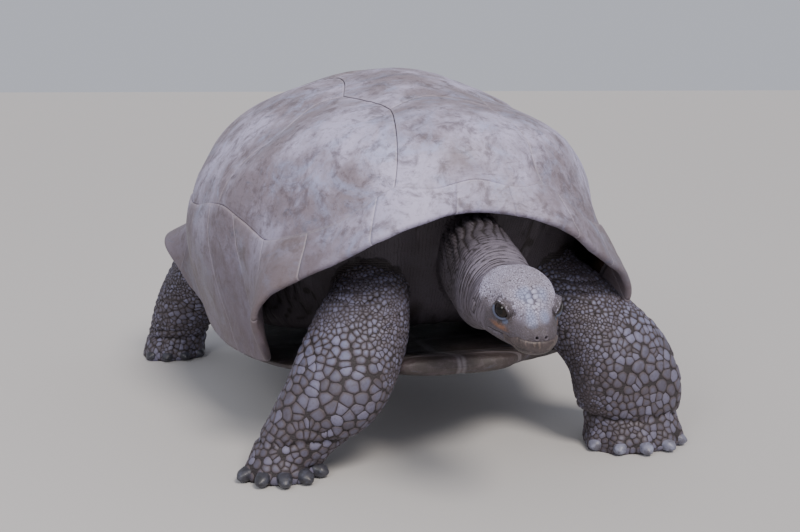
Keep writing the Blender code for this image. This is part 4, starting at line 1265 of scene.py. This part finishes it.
def scale_set(grid, u, v, wanted, sides, crack, dome, rings, patch, draw):
    """Closed domes over these places of a tube, with their values and their UV patches."""
    spots = on_tube(grid, u, v)
    count = len(spots)
    du = (on_tube(grid, u + 0.8, v) - on_tube(grid, u - 0.8, v)) / 1.6
    dv = (on_tube(grid, u, v + 0.8) - on_tube(grid, u, v - 0.8)) / 1.6
    normal = unit(np.cross(du, dv))
    outward = spots - grid.mean(axis=1)[np.clip(np.rint(u).astype(int), 0, len(grid) - 1)]
    normal = normal * np.sign((normal * outward).sum(axis=-1).mean())
    across = unit(dv)
    deep = np.cross(normal, across)
    close = nearest_of(spots, spots, NEIGHBOURS)
    away = spots[close] - spots[:, None]
    flat = np.stack([(away * across[:, None]).sum(-1), (away * deep[:, None]).sum(-1)], -1)
    angle = np.arange(sides) * 2 * math.pi / sides
    heading = np.stack([np.cos(angle), np.sin(angle)], -1)
    toward = flat @ heading.T
    half_way = (flat ** 2).sum(-1)[..., None] / np.maximum(2 * toward, 1e-7)
    reach = np.where(toward > 1e-6, half_way, 1.0).min(axis=1)
    size = np.median(reach, axis=1)[:, None]
    reach = np.minimum(reach, np.minimum(2.1 * size, 0.68 * wanted[:, None]))
    edge = np.maximum(reach - crack * (0.6 + 0.4 * draw.random((count, 1))), 0.35 * reach)
    tall = dome * size * draw.uniform(0.75, 1.25, (count, 1))
    shade = draw.random(count)
    profile = ((1.02, -SCALE_ROOT, 0.0), *rings)
    points, values, uv = [], [], []
    slopes = np.stack([du, dv], -1)
    solve = np.linalg.inv(np.swapaxes(slopes, 1, 2) @ slopes) @ np.swapaxes(slopes, 1, 2)
    home = np.stack([v / grid.shape[1], u / grid.shape[0]], -1) * patch[2:] + patch[:2]
    for reach_part, low, high in profile:
        r = (reach if high == 0.0 and low < 0 else edge) * reach_part
        shift = r[..., None] * (heading[None, :, :1] * across[:, None] + heading[None, :, 1:] * deep[:, None])
        step = np.einsum("nij,nkj->nki", solve, shift)
        place = on_tube(grid, np.clip(u[:, None] + step[..., 0], 0, len(grid) - 1), v[:, None] + step[..., 1])
        points.append(place + normal[:, None] * (low + high * tall)[..., None])
        values.append(np.full((count, sides), 1 - reach_part if high else -0.1))
        uv.append(home[:, None] + PATCH_RADIUS * reach_part * heading[None])
    levels = len(profile)
    top, base = spots + normal * tall, spots - normal * SCALE_ROOT
    ones = np.ones((count, 1))
    points = np.concatenate([np.stack(points, 1).reshape(count, -1, 3), top[:, None], base[:, None]], 1)
    domes = np.concatenate([np.stack(values, 1).reshape(count, -1), ones, 0 * ones], 1)
    maps = np.concatenate([np.stack(uv, 1).reshape(count, -1, 2), home[:, None], home[:, None]], 1)
    each = levels * sides + 2
    quads = net(levels, sides, closed=True)
    triangles = end_fans(levels, sides, each - 1, each - 2)[:, ::-1]
    start = np.arange(count)[:, None, None] * each
    faces = [(quads[None] + start).reshape(-1, 4), (triangles[None] + start).reshape(-1, 3)]
    values = {"dome": domes.ravel(), "shade": np.repeat(shade, each), "girth": np.repeat(size.ravel(), each)}
    return points.reshape(-1, 3), faces, values, maps.reshape(-1, 2)


# rings of a scale's dome: part of its reach, height over the hide, part of its own height
BIG_RINGS = ((1.0, 0.0, 0.40), (0.80, 0.0, 0.90))
SMALL_RINGS = ((1.0, 0.0, 0.45), (0.66, 0.0, 0.92))


hide_of_all = BVHTree.FromPolygons(spots.tolist(), triangles.tolist())
NO_SCALE = 9.0                # a size that says that no scale grows there


def scale_piece(name, grid, size_at, material, seed, parting, patch, limit=0.006, bulge=0.15, marks=None):
    """Scales over the part of a tube that shows; the big ones have more sides than the small ones."""
    draw = np.random.default_rng(seed)
    u, v = scale_places(grid, size_at, seed)
    seats = on_tube(grid, u, v)
    found = [hide_of_all.find_nearest(seat) for seat in seats]
    shown = np.array([hit[3] < limit for hit in found]) & (size_at(seats) < 0.1)
    moves = np.array([hit[0][:] for hit in found]) - seats
    u, v, moves = u[shown], v[shown], moves[shown]
    size = size_at(on_tube(grid, u, v))
    sides, rings = (11, BIG_RINGS) if np.median(size) > 0.0075 else (8, SMALL_RINGS)
    points, faces, values, uv = scale_set(grid, u, v, size, sides, parting, bulge, rings,
                                          np.array(patch), draw)
    points = points + np.repeat(moves, len(points) // len(moves), axis=0)
    points[:, 2] = np.maximum(points[:, 2], 0.0002)
    values.update(marks(points) if marks else {})
    return make_piece(name, points, faces, material, (), values, uv)


SCALE_RING = 0.0016           # breadth of one ring of growth on a scale


def keratin_scales(name, centre, edge, dusty, worn, grain, painted_shade, high, low):
    """Keratin scales: brown-grey horn, each one's middle rubbed to blue-grey and lighter also as painted
    light on its dome, its foot full of dust.

    They darken from one height down to another as painted shade; on the legs it also stands for the earth and
    grass they drag through.
    """
    material, shader = new_material(name, 0.55, 1.54)
    place = add_node(material, "TexCoord", {}, 3)
    dome, shade, girth, warm, blue, painted_head_shade = (
        add_node(material, "Attribute", {}, 2, attribute_name=name) for name in (
            "dome", "shade", "girth", "warm", "blue", "painted_head_shade"))
    broad = add_node(material, "TexNoise", {"Vector": place, "Scale": 9.0, "Detail": 6.0, "Roughness": 0.6})
    fine = add_node(material, "TexNoise", {"Vector": place, "Scale": 240.0, "Detail": 6.0, "Roughness": 0.7})
    rise = add_node(material, "SeparateXYZ", {0: place}, 2)
    patch = add_node(material, "TexNoise", {"Vector": place, "Scale": 42.0, "Detail": 7.0, "Roughness": 0.65})
    rubbed_at = add_node(material, "Math", {0: dome, 1: girth}, operation="MULTIPLY")
    layers = (
        # the middles: rubbed horn, lighter also as painted light on the top of each dome
        (broad, 0.40, 0.62, 0.65, dusty), (rubbed_at, 0.0006, 0.0048, 0.70, centre),
        # painted shade: the scales darken from the height high down to low
        (patch, 0.46, 0.64, 0.55, dusty), (rise, high, low, 0.65, painted_shade),
        (shade, 0.55, 1.0, 0.45, worn), (shade, 0.40, 0.0, 0.30, grain), (fine, 0.50, 0.70, 0.45, grain),
        # painted shade over the lower head
        (painted_head_shade, 0.0, 1.0, 0.88, "#40373a"), (blue, 0.15, 0.95, 0.62, "#7f8bb0"),
        (warm, 0.25, 0.95, 0.62, "#8a5c3a"), (girth, 0.0013, 0.0010, 0.80, "#3c3435"),
        (dome, 0.03, -0.03, 0.90, "#241d1d"),
    )
    tinted(material, shader, edge, layers)
    rough = add_node(material, "MapRange", {0: dome, 1: 0.2, 2: 0.9, 3: 0.68, 4: 0.46})
    material.node_tree.links.new(rough, shader.inputs["Roughness"])
    across = add_node(material, "Math", {0: rubbed_at, 1: 2 * math.pi / SCALE_RING}, operation="MULTIPLY")
    growth = add_node(material, "Math", {0: across}, operation="SINE")
    height = add_node(material, "Math", {0: growth, 1: 0.05, 2: fine}, operation="MULTIPLY_ADD")
    roughened(material, shader, height, 0.7, 0.0006)
    return material


def leg_scales(fine, middle, large, band, out_side):
    """Size of the scales on a leg: fine at the shoulder and within, large across the outer forearm.

    The band says the height and the breadth of the large ones, and where the fine ones start and end.
    """
    def size_at(points):
        z = points[..., 2]
        flat = points.reshape(-1, 3)
        uneven = ripple(flat, 0.05, 71).reshape(z.shape)
        slow = ripple(flat, 0.16, 72).reshape(z.shape)
        high = ease(z + 0.02 * slow, band[2], band[3])
        size = middle + (fine - middle) * high
        within = ease(out_side(points), -0.02, 0.05)
        size = fine + (size - fine) * within
        on_band = np.exp(-((z - band[0] - 0.01 * slow) / band[1]) ** 2)
        size = size + (large - middle) * on_band * within
        foot = ease(0.070 - z, 0.0, 0.012)
        size = size + (0.013 - size) * foot
        return size * np.exp(0.28 * uneven)
    return size_at


def outer_of(x_middle, y_middle, way):
    """How far a point lies to the outside and the front of a leg's middle."""
    return lambda points: (points[..., 0] - x_middle) * way - (points[..., 1] - y_middle) * 0.9


# the last colour is painted shade on the lower legs, which also stands for earth
leg_keratin = keratin_scales("leg_scale_keratin", centre="#7d83a7", edge="#5f5863", dusty="#4a4046",
                             worn="#82819e", grain="#3a3237", painted_shade="#44393b", high=0.27, low=0.12)
LEG_PARTING = 0.0006          # half the crack between two scales of a leg
scale_piece("scales_front_right", legs["front_right"],
            leg_scales(0.0085, 0.0170, 0.0260, (0.135, 0.030, 0.20, 0.27), outer_of(-0.200, -0.380, -1)),
            leg_keratin, 81, LEG_PARTING, (0.02, 0.02, 0.28, 0.28))
scale_piece("scales_front_left", legs["front_left"],
            leg_scales(0.0080, 0.0180, 0.0230, (0.155, 0.035, 0.20, 0.26), outer_of(0.320, -0.370, 1)),
            leg_keratin, 82, LEG_PARTING, (0.34, 0.02, 0.28, 0.28))
for side, x_middle, way, patch in (("right", -0.36, -1, 0.02), ("left", 0.32, 1, 0.34)):
    scale_piece("scales_hind_" + side, legs["hind_" + side],
                leg_scales(0.0084, 0.0126, 0.0150, (0.12, 0.03, 0.14, 0.22), outer_of(x_middle, 0.40, way)),
                leg_keratin, 83, LEG_PARTING, (patch, 0.34, 0.28, 0.28))
scale_piece("scales_tail", tail_grid, lambda points: 0.0085 + 0 * points[..., 0], leg_keratin, 85,
            LEG_PARTING, (0.66, 0.34, 0.28, 0.28))


# ---- head and neck: pebbles over the crown, plates before it, beads on the lids ----
def head_scales(points):
    """Size of the scales on head and neck: fine on the lids, broad between the eyes, none on lips."""
    place = in_head(points)
    side, ahead, up = np.abs(place[..., 0]), place[..., 1], place[..., 2]
    size = 0.0034 - 0.0002 * ease(0.004 - up, 0.0, 0.02)
    plates = bump_at(place, 0.030, 0.0, 0.026, (0.030, 0.022, 0.016))
    size = size + 0.0052 * ease(plates, 0.30, 0.70)
    for way in (1, -1):
        margin, high = lid_margin(points, way)
        size = size + (0.0021 - size) * (1 - ease(margin, 0.010, 0.014))
        size = np.where((margin < 0.0020) | ((margin < 0.0065) & (high < -0.25)), NO_SCALE, size)
    size = np.where(-ahead - 0.010 * ripple(points.reshape(-1, 3), 0.05, 95).reshape(up.shape)
                    - 1.6 * np.maximum(up + 0.012, 0) > 0.020, NO_SCALE, size)
    lips = up - mouth_height(ahead)
    size = np.where((np.abs(lips) < 0.0022) & (ahead > -0.010), NO_SCALE, size)
    size = np.where(np.hypot(side - 0.0068, up + 0.0165) + 1.0 * (ahead < 0.045) < 0.0034, NO_SCALE, size)
    size = np.where(beak_cover(ahead, up) > -0.0008, NO_SCALE, size)
    return size


# the last colour is painted shade over the lower head
head_keratin = keratin_scales("head_scale_keratin", centre="#c2c6ea", edge="#b3afcc", dusty="#908894",
                              worn="#c2c1de", grain="#7a7280", painted_shade="#6f6771", high=0.350, low=0.300)
scale_piece("scales_head", head_grid, head_scales, head_keratin, 91, 0.00016, (0.02, 0.66, 0.96, 0.32),
            limit=0.003, bulge=0.09, marks=head_marks)


# ==== beak: the horny sheaths of the two jaws ====
# Turtles have no teeth. A sheath of dark keratin covers each jaw's edge, thin and sharp at the mouth,
# grown downwards, so that fine ridges run from its root to its cutting edge.
BEAK_THICKNESS = 0.0016       # of the part that is sunk in the skin
BEAK_OVER_SKIN = 0.0009
BEAK_ROWS, BEAK_COLUMNS = 22, 140
BEAK_ROOT = 0.0235            # how far ahead of the eyes the beak begins


def snout_outline(up, reach):
    """Where the snout's outline at a height lies, from its corner on one side over the tip to the other.

    Reach runs from -1 to 1; each point's own height picks its outline out of the head's rows.
    """
    rows = np.asarray(HEAD)
    fine = np.linspace(2, len(rows) - 1, 700)
    ahead = np.linspace(rows[2, 0], rows[-1, 0] - 0.0001, 300)
    table = through(rows, np.interp(ahead, through(rows, fine)[:, 0], fine))
    middle = 0.45 * table[:, 2] + 0.55 * table[:, 3]
    rise = up[..., None] - middle
    half = np.where(rise > 0, table[:, 2] - middle, middle - table[:, 3])
    inside = 1 - np.abs(rise / half) ** FLESH_SQUARENESS
    wide = table[:, 1] * np.maximum(inside, 0) ** (1 / FLESH_SQUARENESS)
    tip = np.where(inside > 0, ahead, -1).max(axis=-1)
    at = tip - (tip - BEAK_ROOT) * np.abs(reach) ** 2.2
    place = np.clip((at - ahead[0]) / (ahead[-1] - ahead[0]) * 299, 0, 298.999)
    i = place.astype(int)[..., None]
    t = place - i[..., 0]
    first = np.take_along_axis(wide, i, -1)[..., 0]
    after = np.take_along_axis(wide, i + 1, -1)[..., 0]
    return np.sign(reach) * ((1 - t) * first + t * after) * np.clip(np.abs(reach) * 40, 0, 1), at


def beak_piece(name, lower):
    """One sheath: a bent plate between the mouth's line and its root on the skin, closed all round."""
    reach = np.linspace(-1, 1, BEAK_COLUMNS)[None] + np.zeros((BEAK_ROWS, 1))
    share = np.linspace(0, 1, BEAK_ROWS)[:, None] + np.zeros((1, BEAK_COLUMNS))
    _, ahead = snout_outline(np.full(reach.shape, -0.034), reach)
    edge = mouth_height(ahead)
    if lower:
        edge = edge - 0.0006
        up = edge - share * (0.0042 + 0.0070 * ease(ahead, 0.034, 0.054))
    else:
        root = edge + 0.0056 + 0.0098 * ease(ahead, 0.034, 0.054)
        hook = np.exp(-(reach / 0.20) ** 2)
        notches = np.exp(-((np.abs(reach) - 0.42) / 0.10) ** 2)
        edge = edge - 0.0020 * hook + 0.0006 * notches
        up = edge + share * (root - edge)
    side, ahead = snout_outline(up, reach)
    grid = from_head(0, 0, 0) + side[..., None] * np.array([1.0, 0, 0]) + ahead[..., None] * nose_down
    grid = grid + up[..., None] * head_up
    along = np.gradient(grid, axis=1)
    rise = np.gradient(grid, axis=0)
    out = unit(np.cross(along, rise))
    out = out * np.sign((out * (grid - from_head(0, 0.0, -0.034))).sum(-1).mean())
    bulge = BEAK_OVER_SKIN + 0.0006 * np.sin(math.pi * np.clip(share, 0, 1))
    ridges = ripple(np.stack([reach * 40, share * 1.5], -1).reshape(-1, 2), 2.2, 5).reshape(reach.shape)
    thinned = 0.0014 * ease(share, 0.86, 1.0) + 0.0008 * ease(0.12 - share, 0, 0.12)
    outer = grid + out * (bulge + 0.00012 * ridges - thinned)[..., None]
    inner = grid - out * BEAK_THICKNESS
    points = np.vstack([outer.reshape(-1, 3), inner.reshape(-1, 3)])
    quads = slab(BEAK_ROWS, BEAK_COLUMNS)
    if not lower:
        quads = quads[:, ::-1]
    make_piece(name + "_sheath", points, [quads], beak_keratin, (name,))


def striped_keratin(name, base, dark, pale, stretch, roughness):
    """Growing keratin of beak and claws: dark horn whose ridges and stains follow the way it grows."""
    material, shader = new_material(name, roughness, 1.54)
    place = add_node(material, "TexCoord", {}, 3)
    drawn = add_node(material, "Mapping", {"Vector": place, "Scale": stretch})
    streak = add_node(material, "TexNoise", {"Vector": drawn, "Scale": 1.0, "Detail": 6.0, "Roughness": 0.65})
    broad = add_node(material, "TexNoise", {"Vector": place, "Scale": 60.0, "Detail": 5.0, "Roughness": 0.6})
    fine = add_node(material, "TexNoise", {"Vector": place, "Scale": 600.0, "Detail": 4.0, "Roughness": 0.6})
    tinted(material, shader, base, ((broad, 0.40, 0.66, 0.75, dark), (streak, 0.50, 0.68, 0.60, pale),
                                    (fine, 0.55, 0.8, 0.4, dark)))
    roughened(material, shader, streak, 0.5, 0.0007)
    return material


beak_keratin = striped_keratin("beak_keratin", base="#4b4041", dark="#2a2121", pale="#75665f",
                               stretch=(260, 260, 60), roughness=0.45)
beak_piece("upper_beak", False)
beak_piece("lower_beak", True)


# ==== eyes: dark, wet and set deep between their lids ====
# A brown iris so dark that it hardly parts from the pupil, under a clear cornea that stands a little
# proud of the ball.
def eye_surface(name):
    """The eyeball: near-black brown iris round a black pupil, paler brown out to the lids, and wet."""
    material, shader = new_material(name, 0.04, 1.376)
    off = add_node(material, "Attribute", {}, 2, attribute_name="off_gaze")
    place = add_node(material, "TexCoord", {}, 3)
    threads = add_node(material, "TexNoise", {"Vector": place, "Scale": 900.0, "Detail": 3.0})
    layers = ((off, 0.36, 0.42, 1.0, "#1b120d"), (threads, 0.5, 0.7, 0.30, "#2e2018"),
              (off, 0.70, 0.80, 0.85, "#0d0a0a"))
    tinted(material, shader, "#020203", layers, "LINEAR")
    return material


EYE_RINGS, EYE_COLUMNS = 40, 64
CORNEA = 0.0003               # half of what the cornea stands proud of the ball
eye_glaze = eye_surface("wet_eye")
for name, way in (("eye_left", 1), ("eye_right", -1)):
    middle, gaze, along, up = eye_frame(way)
    turn = np.linspace(0, math.pi, EYE_RINGS + 1)[1:-1, None]
    round_turn = np.arange(EYE_COLUMNS) * 2 * math.pi / EYE_COLUMNS
    radius = EYE_RADIUS - CORNEA + 2 * CORNEA * np.exp(-(turn / 0.55) ** 4)
    ball = (np.cos(turn)[..., None] * gaze + (np.sin(turn) * np.cos(round_turn))[..., None] * along
            + (np.sin(turn) * np.sin(round_turn))[..., None] * up)
    ball = (middle + ball * radius[..., None]).reshape(-1, 3)
    points = np.vstack([ball, middle + gaze * (EYE_RADIUS + CORNEA), middle - gaze * (EYE_RADIUS - CORNEA)])
    off = np.r_[np.repeat(np.sin(np.minimum(turn.ravel(), math.pi / 2)), EYE_COLUMNS), 0, 1]
    ends = end_fans(EYE_RINGS - 1, EYE_COLUMNS, len(points) - 2, len(points) - 1)
    quads = net(EYE_RINGS - 1, EYE_COLUMNS, closed=True)[:, ::-1]
    if way == 1:
        quads, ends = quads[:, ::-1], ends[:, ::-1]
    make_piece(name + "_ball", points, [quads, ends], eye_glaze, (name,), {"off_gaze": off})


# ==== claws: five on each forefoot, four on each hind foot ====
# Blunt broad cones of keratin over the last toe bone, worn at the tip and ringed by growth.
FRONT_CLAW = (0.0140, 0.0120, 0.040)      # half width, half thickness, length
HIND_CLAW = (0.0150, 0.0120, 0.036)
CLAW_REACH = 0.80             # where a claw's root lies, as part of the foot's radius
CLAW_LIFT = 1.25              # how high its root lies, in half thicknesses
CLAW_CLEARANCE = 0.0010       # its least height over the floor
CLAW_RINGS, CLAW_COLUMNS = 34, 36
GROWTH_RING = 0.0026          # length of a claw that one ring of growth takes


def claw_piece(name, size, root, angle, seed, horn):
    """A claw along -Y from its root, its section an egg flat below, turned about its root."""
    wide, thick, length = size
    s = np.linspace(0, 1, CLAW_RINGS)
    s = 1 - (1 - s) ** 1.6
    scale = np.interp(s, (0, 0.35, 0.6, 0.8, 1.0), (0.92, 1.0, 0.95, 0.82, 0.46))
    scale = scale * np.sqrt(np.maximum(1 - np.clip((s - 0.80) / 0.2005, 0, 1) ** 2, 0))
    along = (0.42 - 1.22 * s) * length
    drop = np.interp(s, (0, 0.4, 0.75, 1.0), (0.10, -0.04, -0.26, -0.42)) * thick
    turn = np.arange(CLAW_COLUMNS) * 2 * math.pi / CLAW_COLUMNS
    size_round = rounded(turn, 2.3)
    draw = np.random.default_rng(seed)
    wander = 2.0 * np.sin(s * 9 + draw.uniform(0, 6))
    growth = 1 + 0.018 * np.sin(2 * math.pi * s * length / GROWTH_RING + wander)
    scale = scale * growth * draw.uniform(0.93, 1.0)
    x = wide * scale[:, None] * np.cos(turn) * size_round
    z = drop[:, None] + thick * scale[:, None] * np.sin(turn) * size_round
    grid = np.stack([x, along[:, None] + 0 * x, z], -1)
    grid = grid + 0.0004 * ripple(grid.reshape(-1, 3) + seed, 0.014, 7).reshape(x.shape)[..., None]
    points = np.vstack([grid.reshape(-1, 3), grid[0].mean(axis=0), grid[-1].mean(axis=0)])
    turned = np.array(Matrix.Rotation(angle * 0.8, 3, "Z"))
    points = points @ turned.T + root
    points[:, 2] = np.maximum(points[:, 2], CLAW_CLEARANCE)
    ends = end_fans(CLAW_RINGS, CLAW_COLUMNS, len(points) - 2, len(points) - 1)[:, ::-1]
    quads = net(CLAW_RINGS, CLAW_COLUMNS, closed=True)
    make_piece(name + "_horn", points, [quads, ends], horn, (name,))


claw_keratin = striped_keratin("claw_keratin", base="#3d3d46", dark="#1f1d20", pale="#545767",
                               stretch=(90, 90, 90), roughness=0.42)
# a paler copy of the claws' horn, used on the forefoot that faces the light: painted light
painted_lit_claw = striped_keratin("painted_lit_claw_keratin", base="#7b7c90", dark="#4b474b", pale="#9a9db5",
                              stretch=(70, 70, 70), roughness=0.42)
for end, side, row, size, angles in (
        ("front", "right", FRONT_RIGHT[-1], FRONT_CLAW, FRONT_CLAW_ANGLES),
        ("front", "left", FRONT_LEFT[-1], FRONT_CLAW, FRONT_CLAW_ANGLES),
        ("hind", "right", HIND_RIGHT[-1], HIND_CLAW, HIND_CLAW_ANGLES),
        ("hind", "left", HIND_LEFT[-1], HIND_CLAW, HIND_CLAW_ANGLES)):
    for number, degrees in enumerate(angles, start=1):
        a = math.radians(degrees)
        root = np.array([row[0] + row[3] * CLAW_REACH * math.sin(a),
                         row[1] - row[4] * CLAW_REACH * math.cos(a), size[1] * CLAW_LIFT])
        claw_piece(f"{end}_claw_{side}_{number}", size, root, a, number,
                   painted_lit_claw if row is FRONT_LEFT[-1] else claw_keratin)


# ==== studio: floor, light and camera ====
# A plain pale floor and soft daylight from the front left and above; the camera stands low, at the
# animal's right front.
bpy.ops.mesh.primitive_plane_add(size=120, location=(0, 0, 0))
floor = bpy.context.object
floor.name = "floor"
floor_paint, floor_shader = new_material("matt_floor_paint", 0.85, 1.45)
floor_shader.inputs["Base Color"].default_value = linear("#c4c2c1")
floor.data.materials.append(floor_paint)

world = bpy.data.worlds.new("studio")
bpy.context.scene.world = world
world.use_nodes = True
world.node_tree.nodes["Background"].inputs["Color"].default_value = linear("#dde0ec")
world.node_tree.nodes["Background"].inputs["Strength"].default_value = 0.72

sun = bpy.data.lights.new("overhead", "SUN")
sun.energy = 2.6
sun.angle = math.radians(22)
sun.color = linear("#fff6ec")[:3]
lamp = bpy.data.objects.new("overhead", sun)
bpy.context.collection.objects.link(lamp)
lamp.rotation_euler = Vector((-0.16, 0.70, -0.85)).to_track_quat("-Z", "Y").to_euler()

soft_box = bpy.data.lights.new("soft_box", "AREA")
soft_box.energy = 30
soft_box.size = 1.0
box_lamp = bpy.data.objects.new("soft_box", soft_box)
bpy.context.collection.objects.link(box_lamp)
box_lamp.location = (-1.9, -2.5, 1.9)
box_lamp.rotation_euler = (Vector((0.0, -0.5, 0.3)) - box_lamp.location).to_track_quat("-Z", "Y").to_euler()

CAMERA_TURN, CAMERA_RISE, CAMERA_DISTANCE = math.radians(-15), math.radians(9), 2.2
LOOK_AT = PLACE + np.array([0.0, 0.0, 0.30])
lens = bpy.data.cameras.new("camera")
lens.sensor_width = 36
lens.lens = 48.8
lens.shift_x, lens.shift_y = 0.010, -0.0175
camera = bpy.data.objects.new("camera", lens)
bpy.context.collection.objects.link(camera)
back_to_camera = np.array([math.sin(CAMERA_TURN) * math.cos(CAMERA_RISE),
                           -math.cos(CAMERA_TURN) * math.cos(CAMERA_RISE), math.sin(CAMERA_RISE)])
camera.location = LOOK_AT + CAMERA_DISTANCE * back_to_camera
camera.rotation_euler = Vector(-back_to_camera).to_track_quat("-Z", "Y").to_euler()
bpy.context.scene.camera = camera
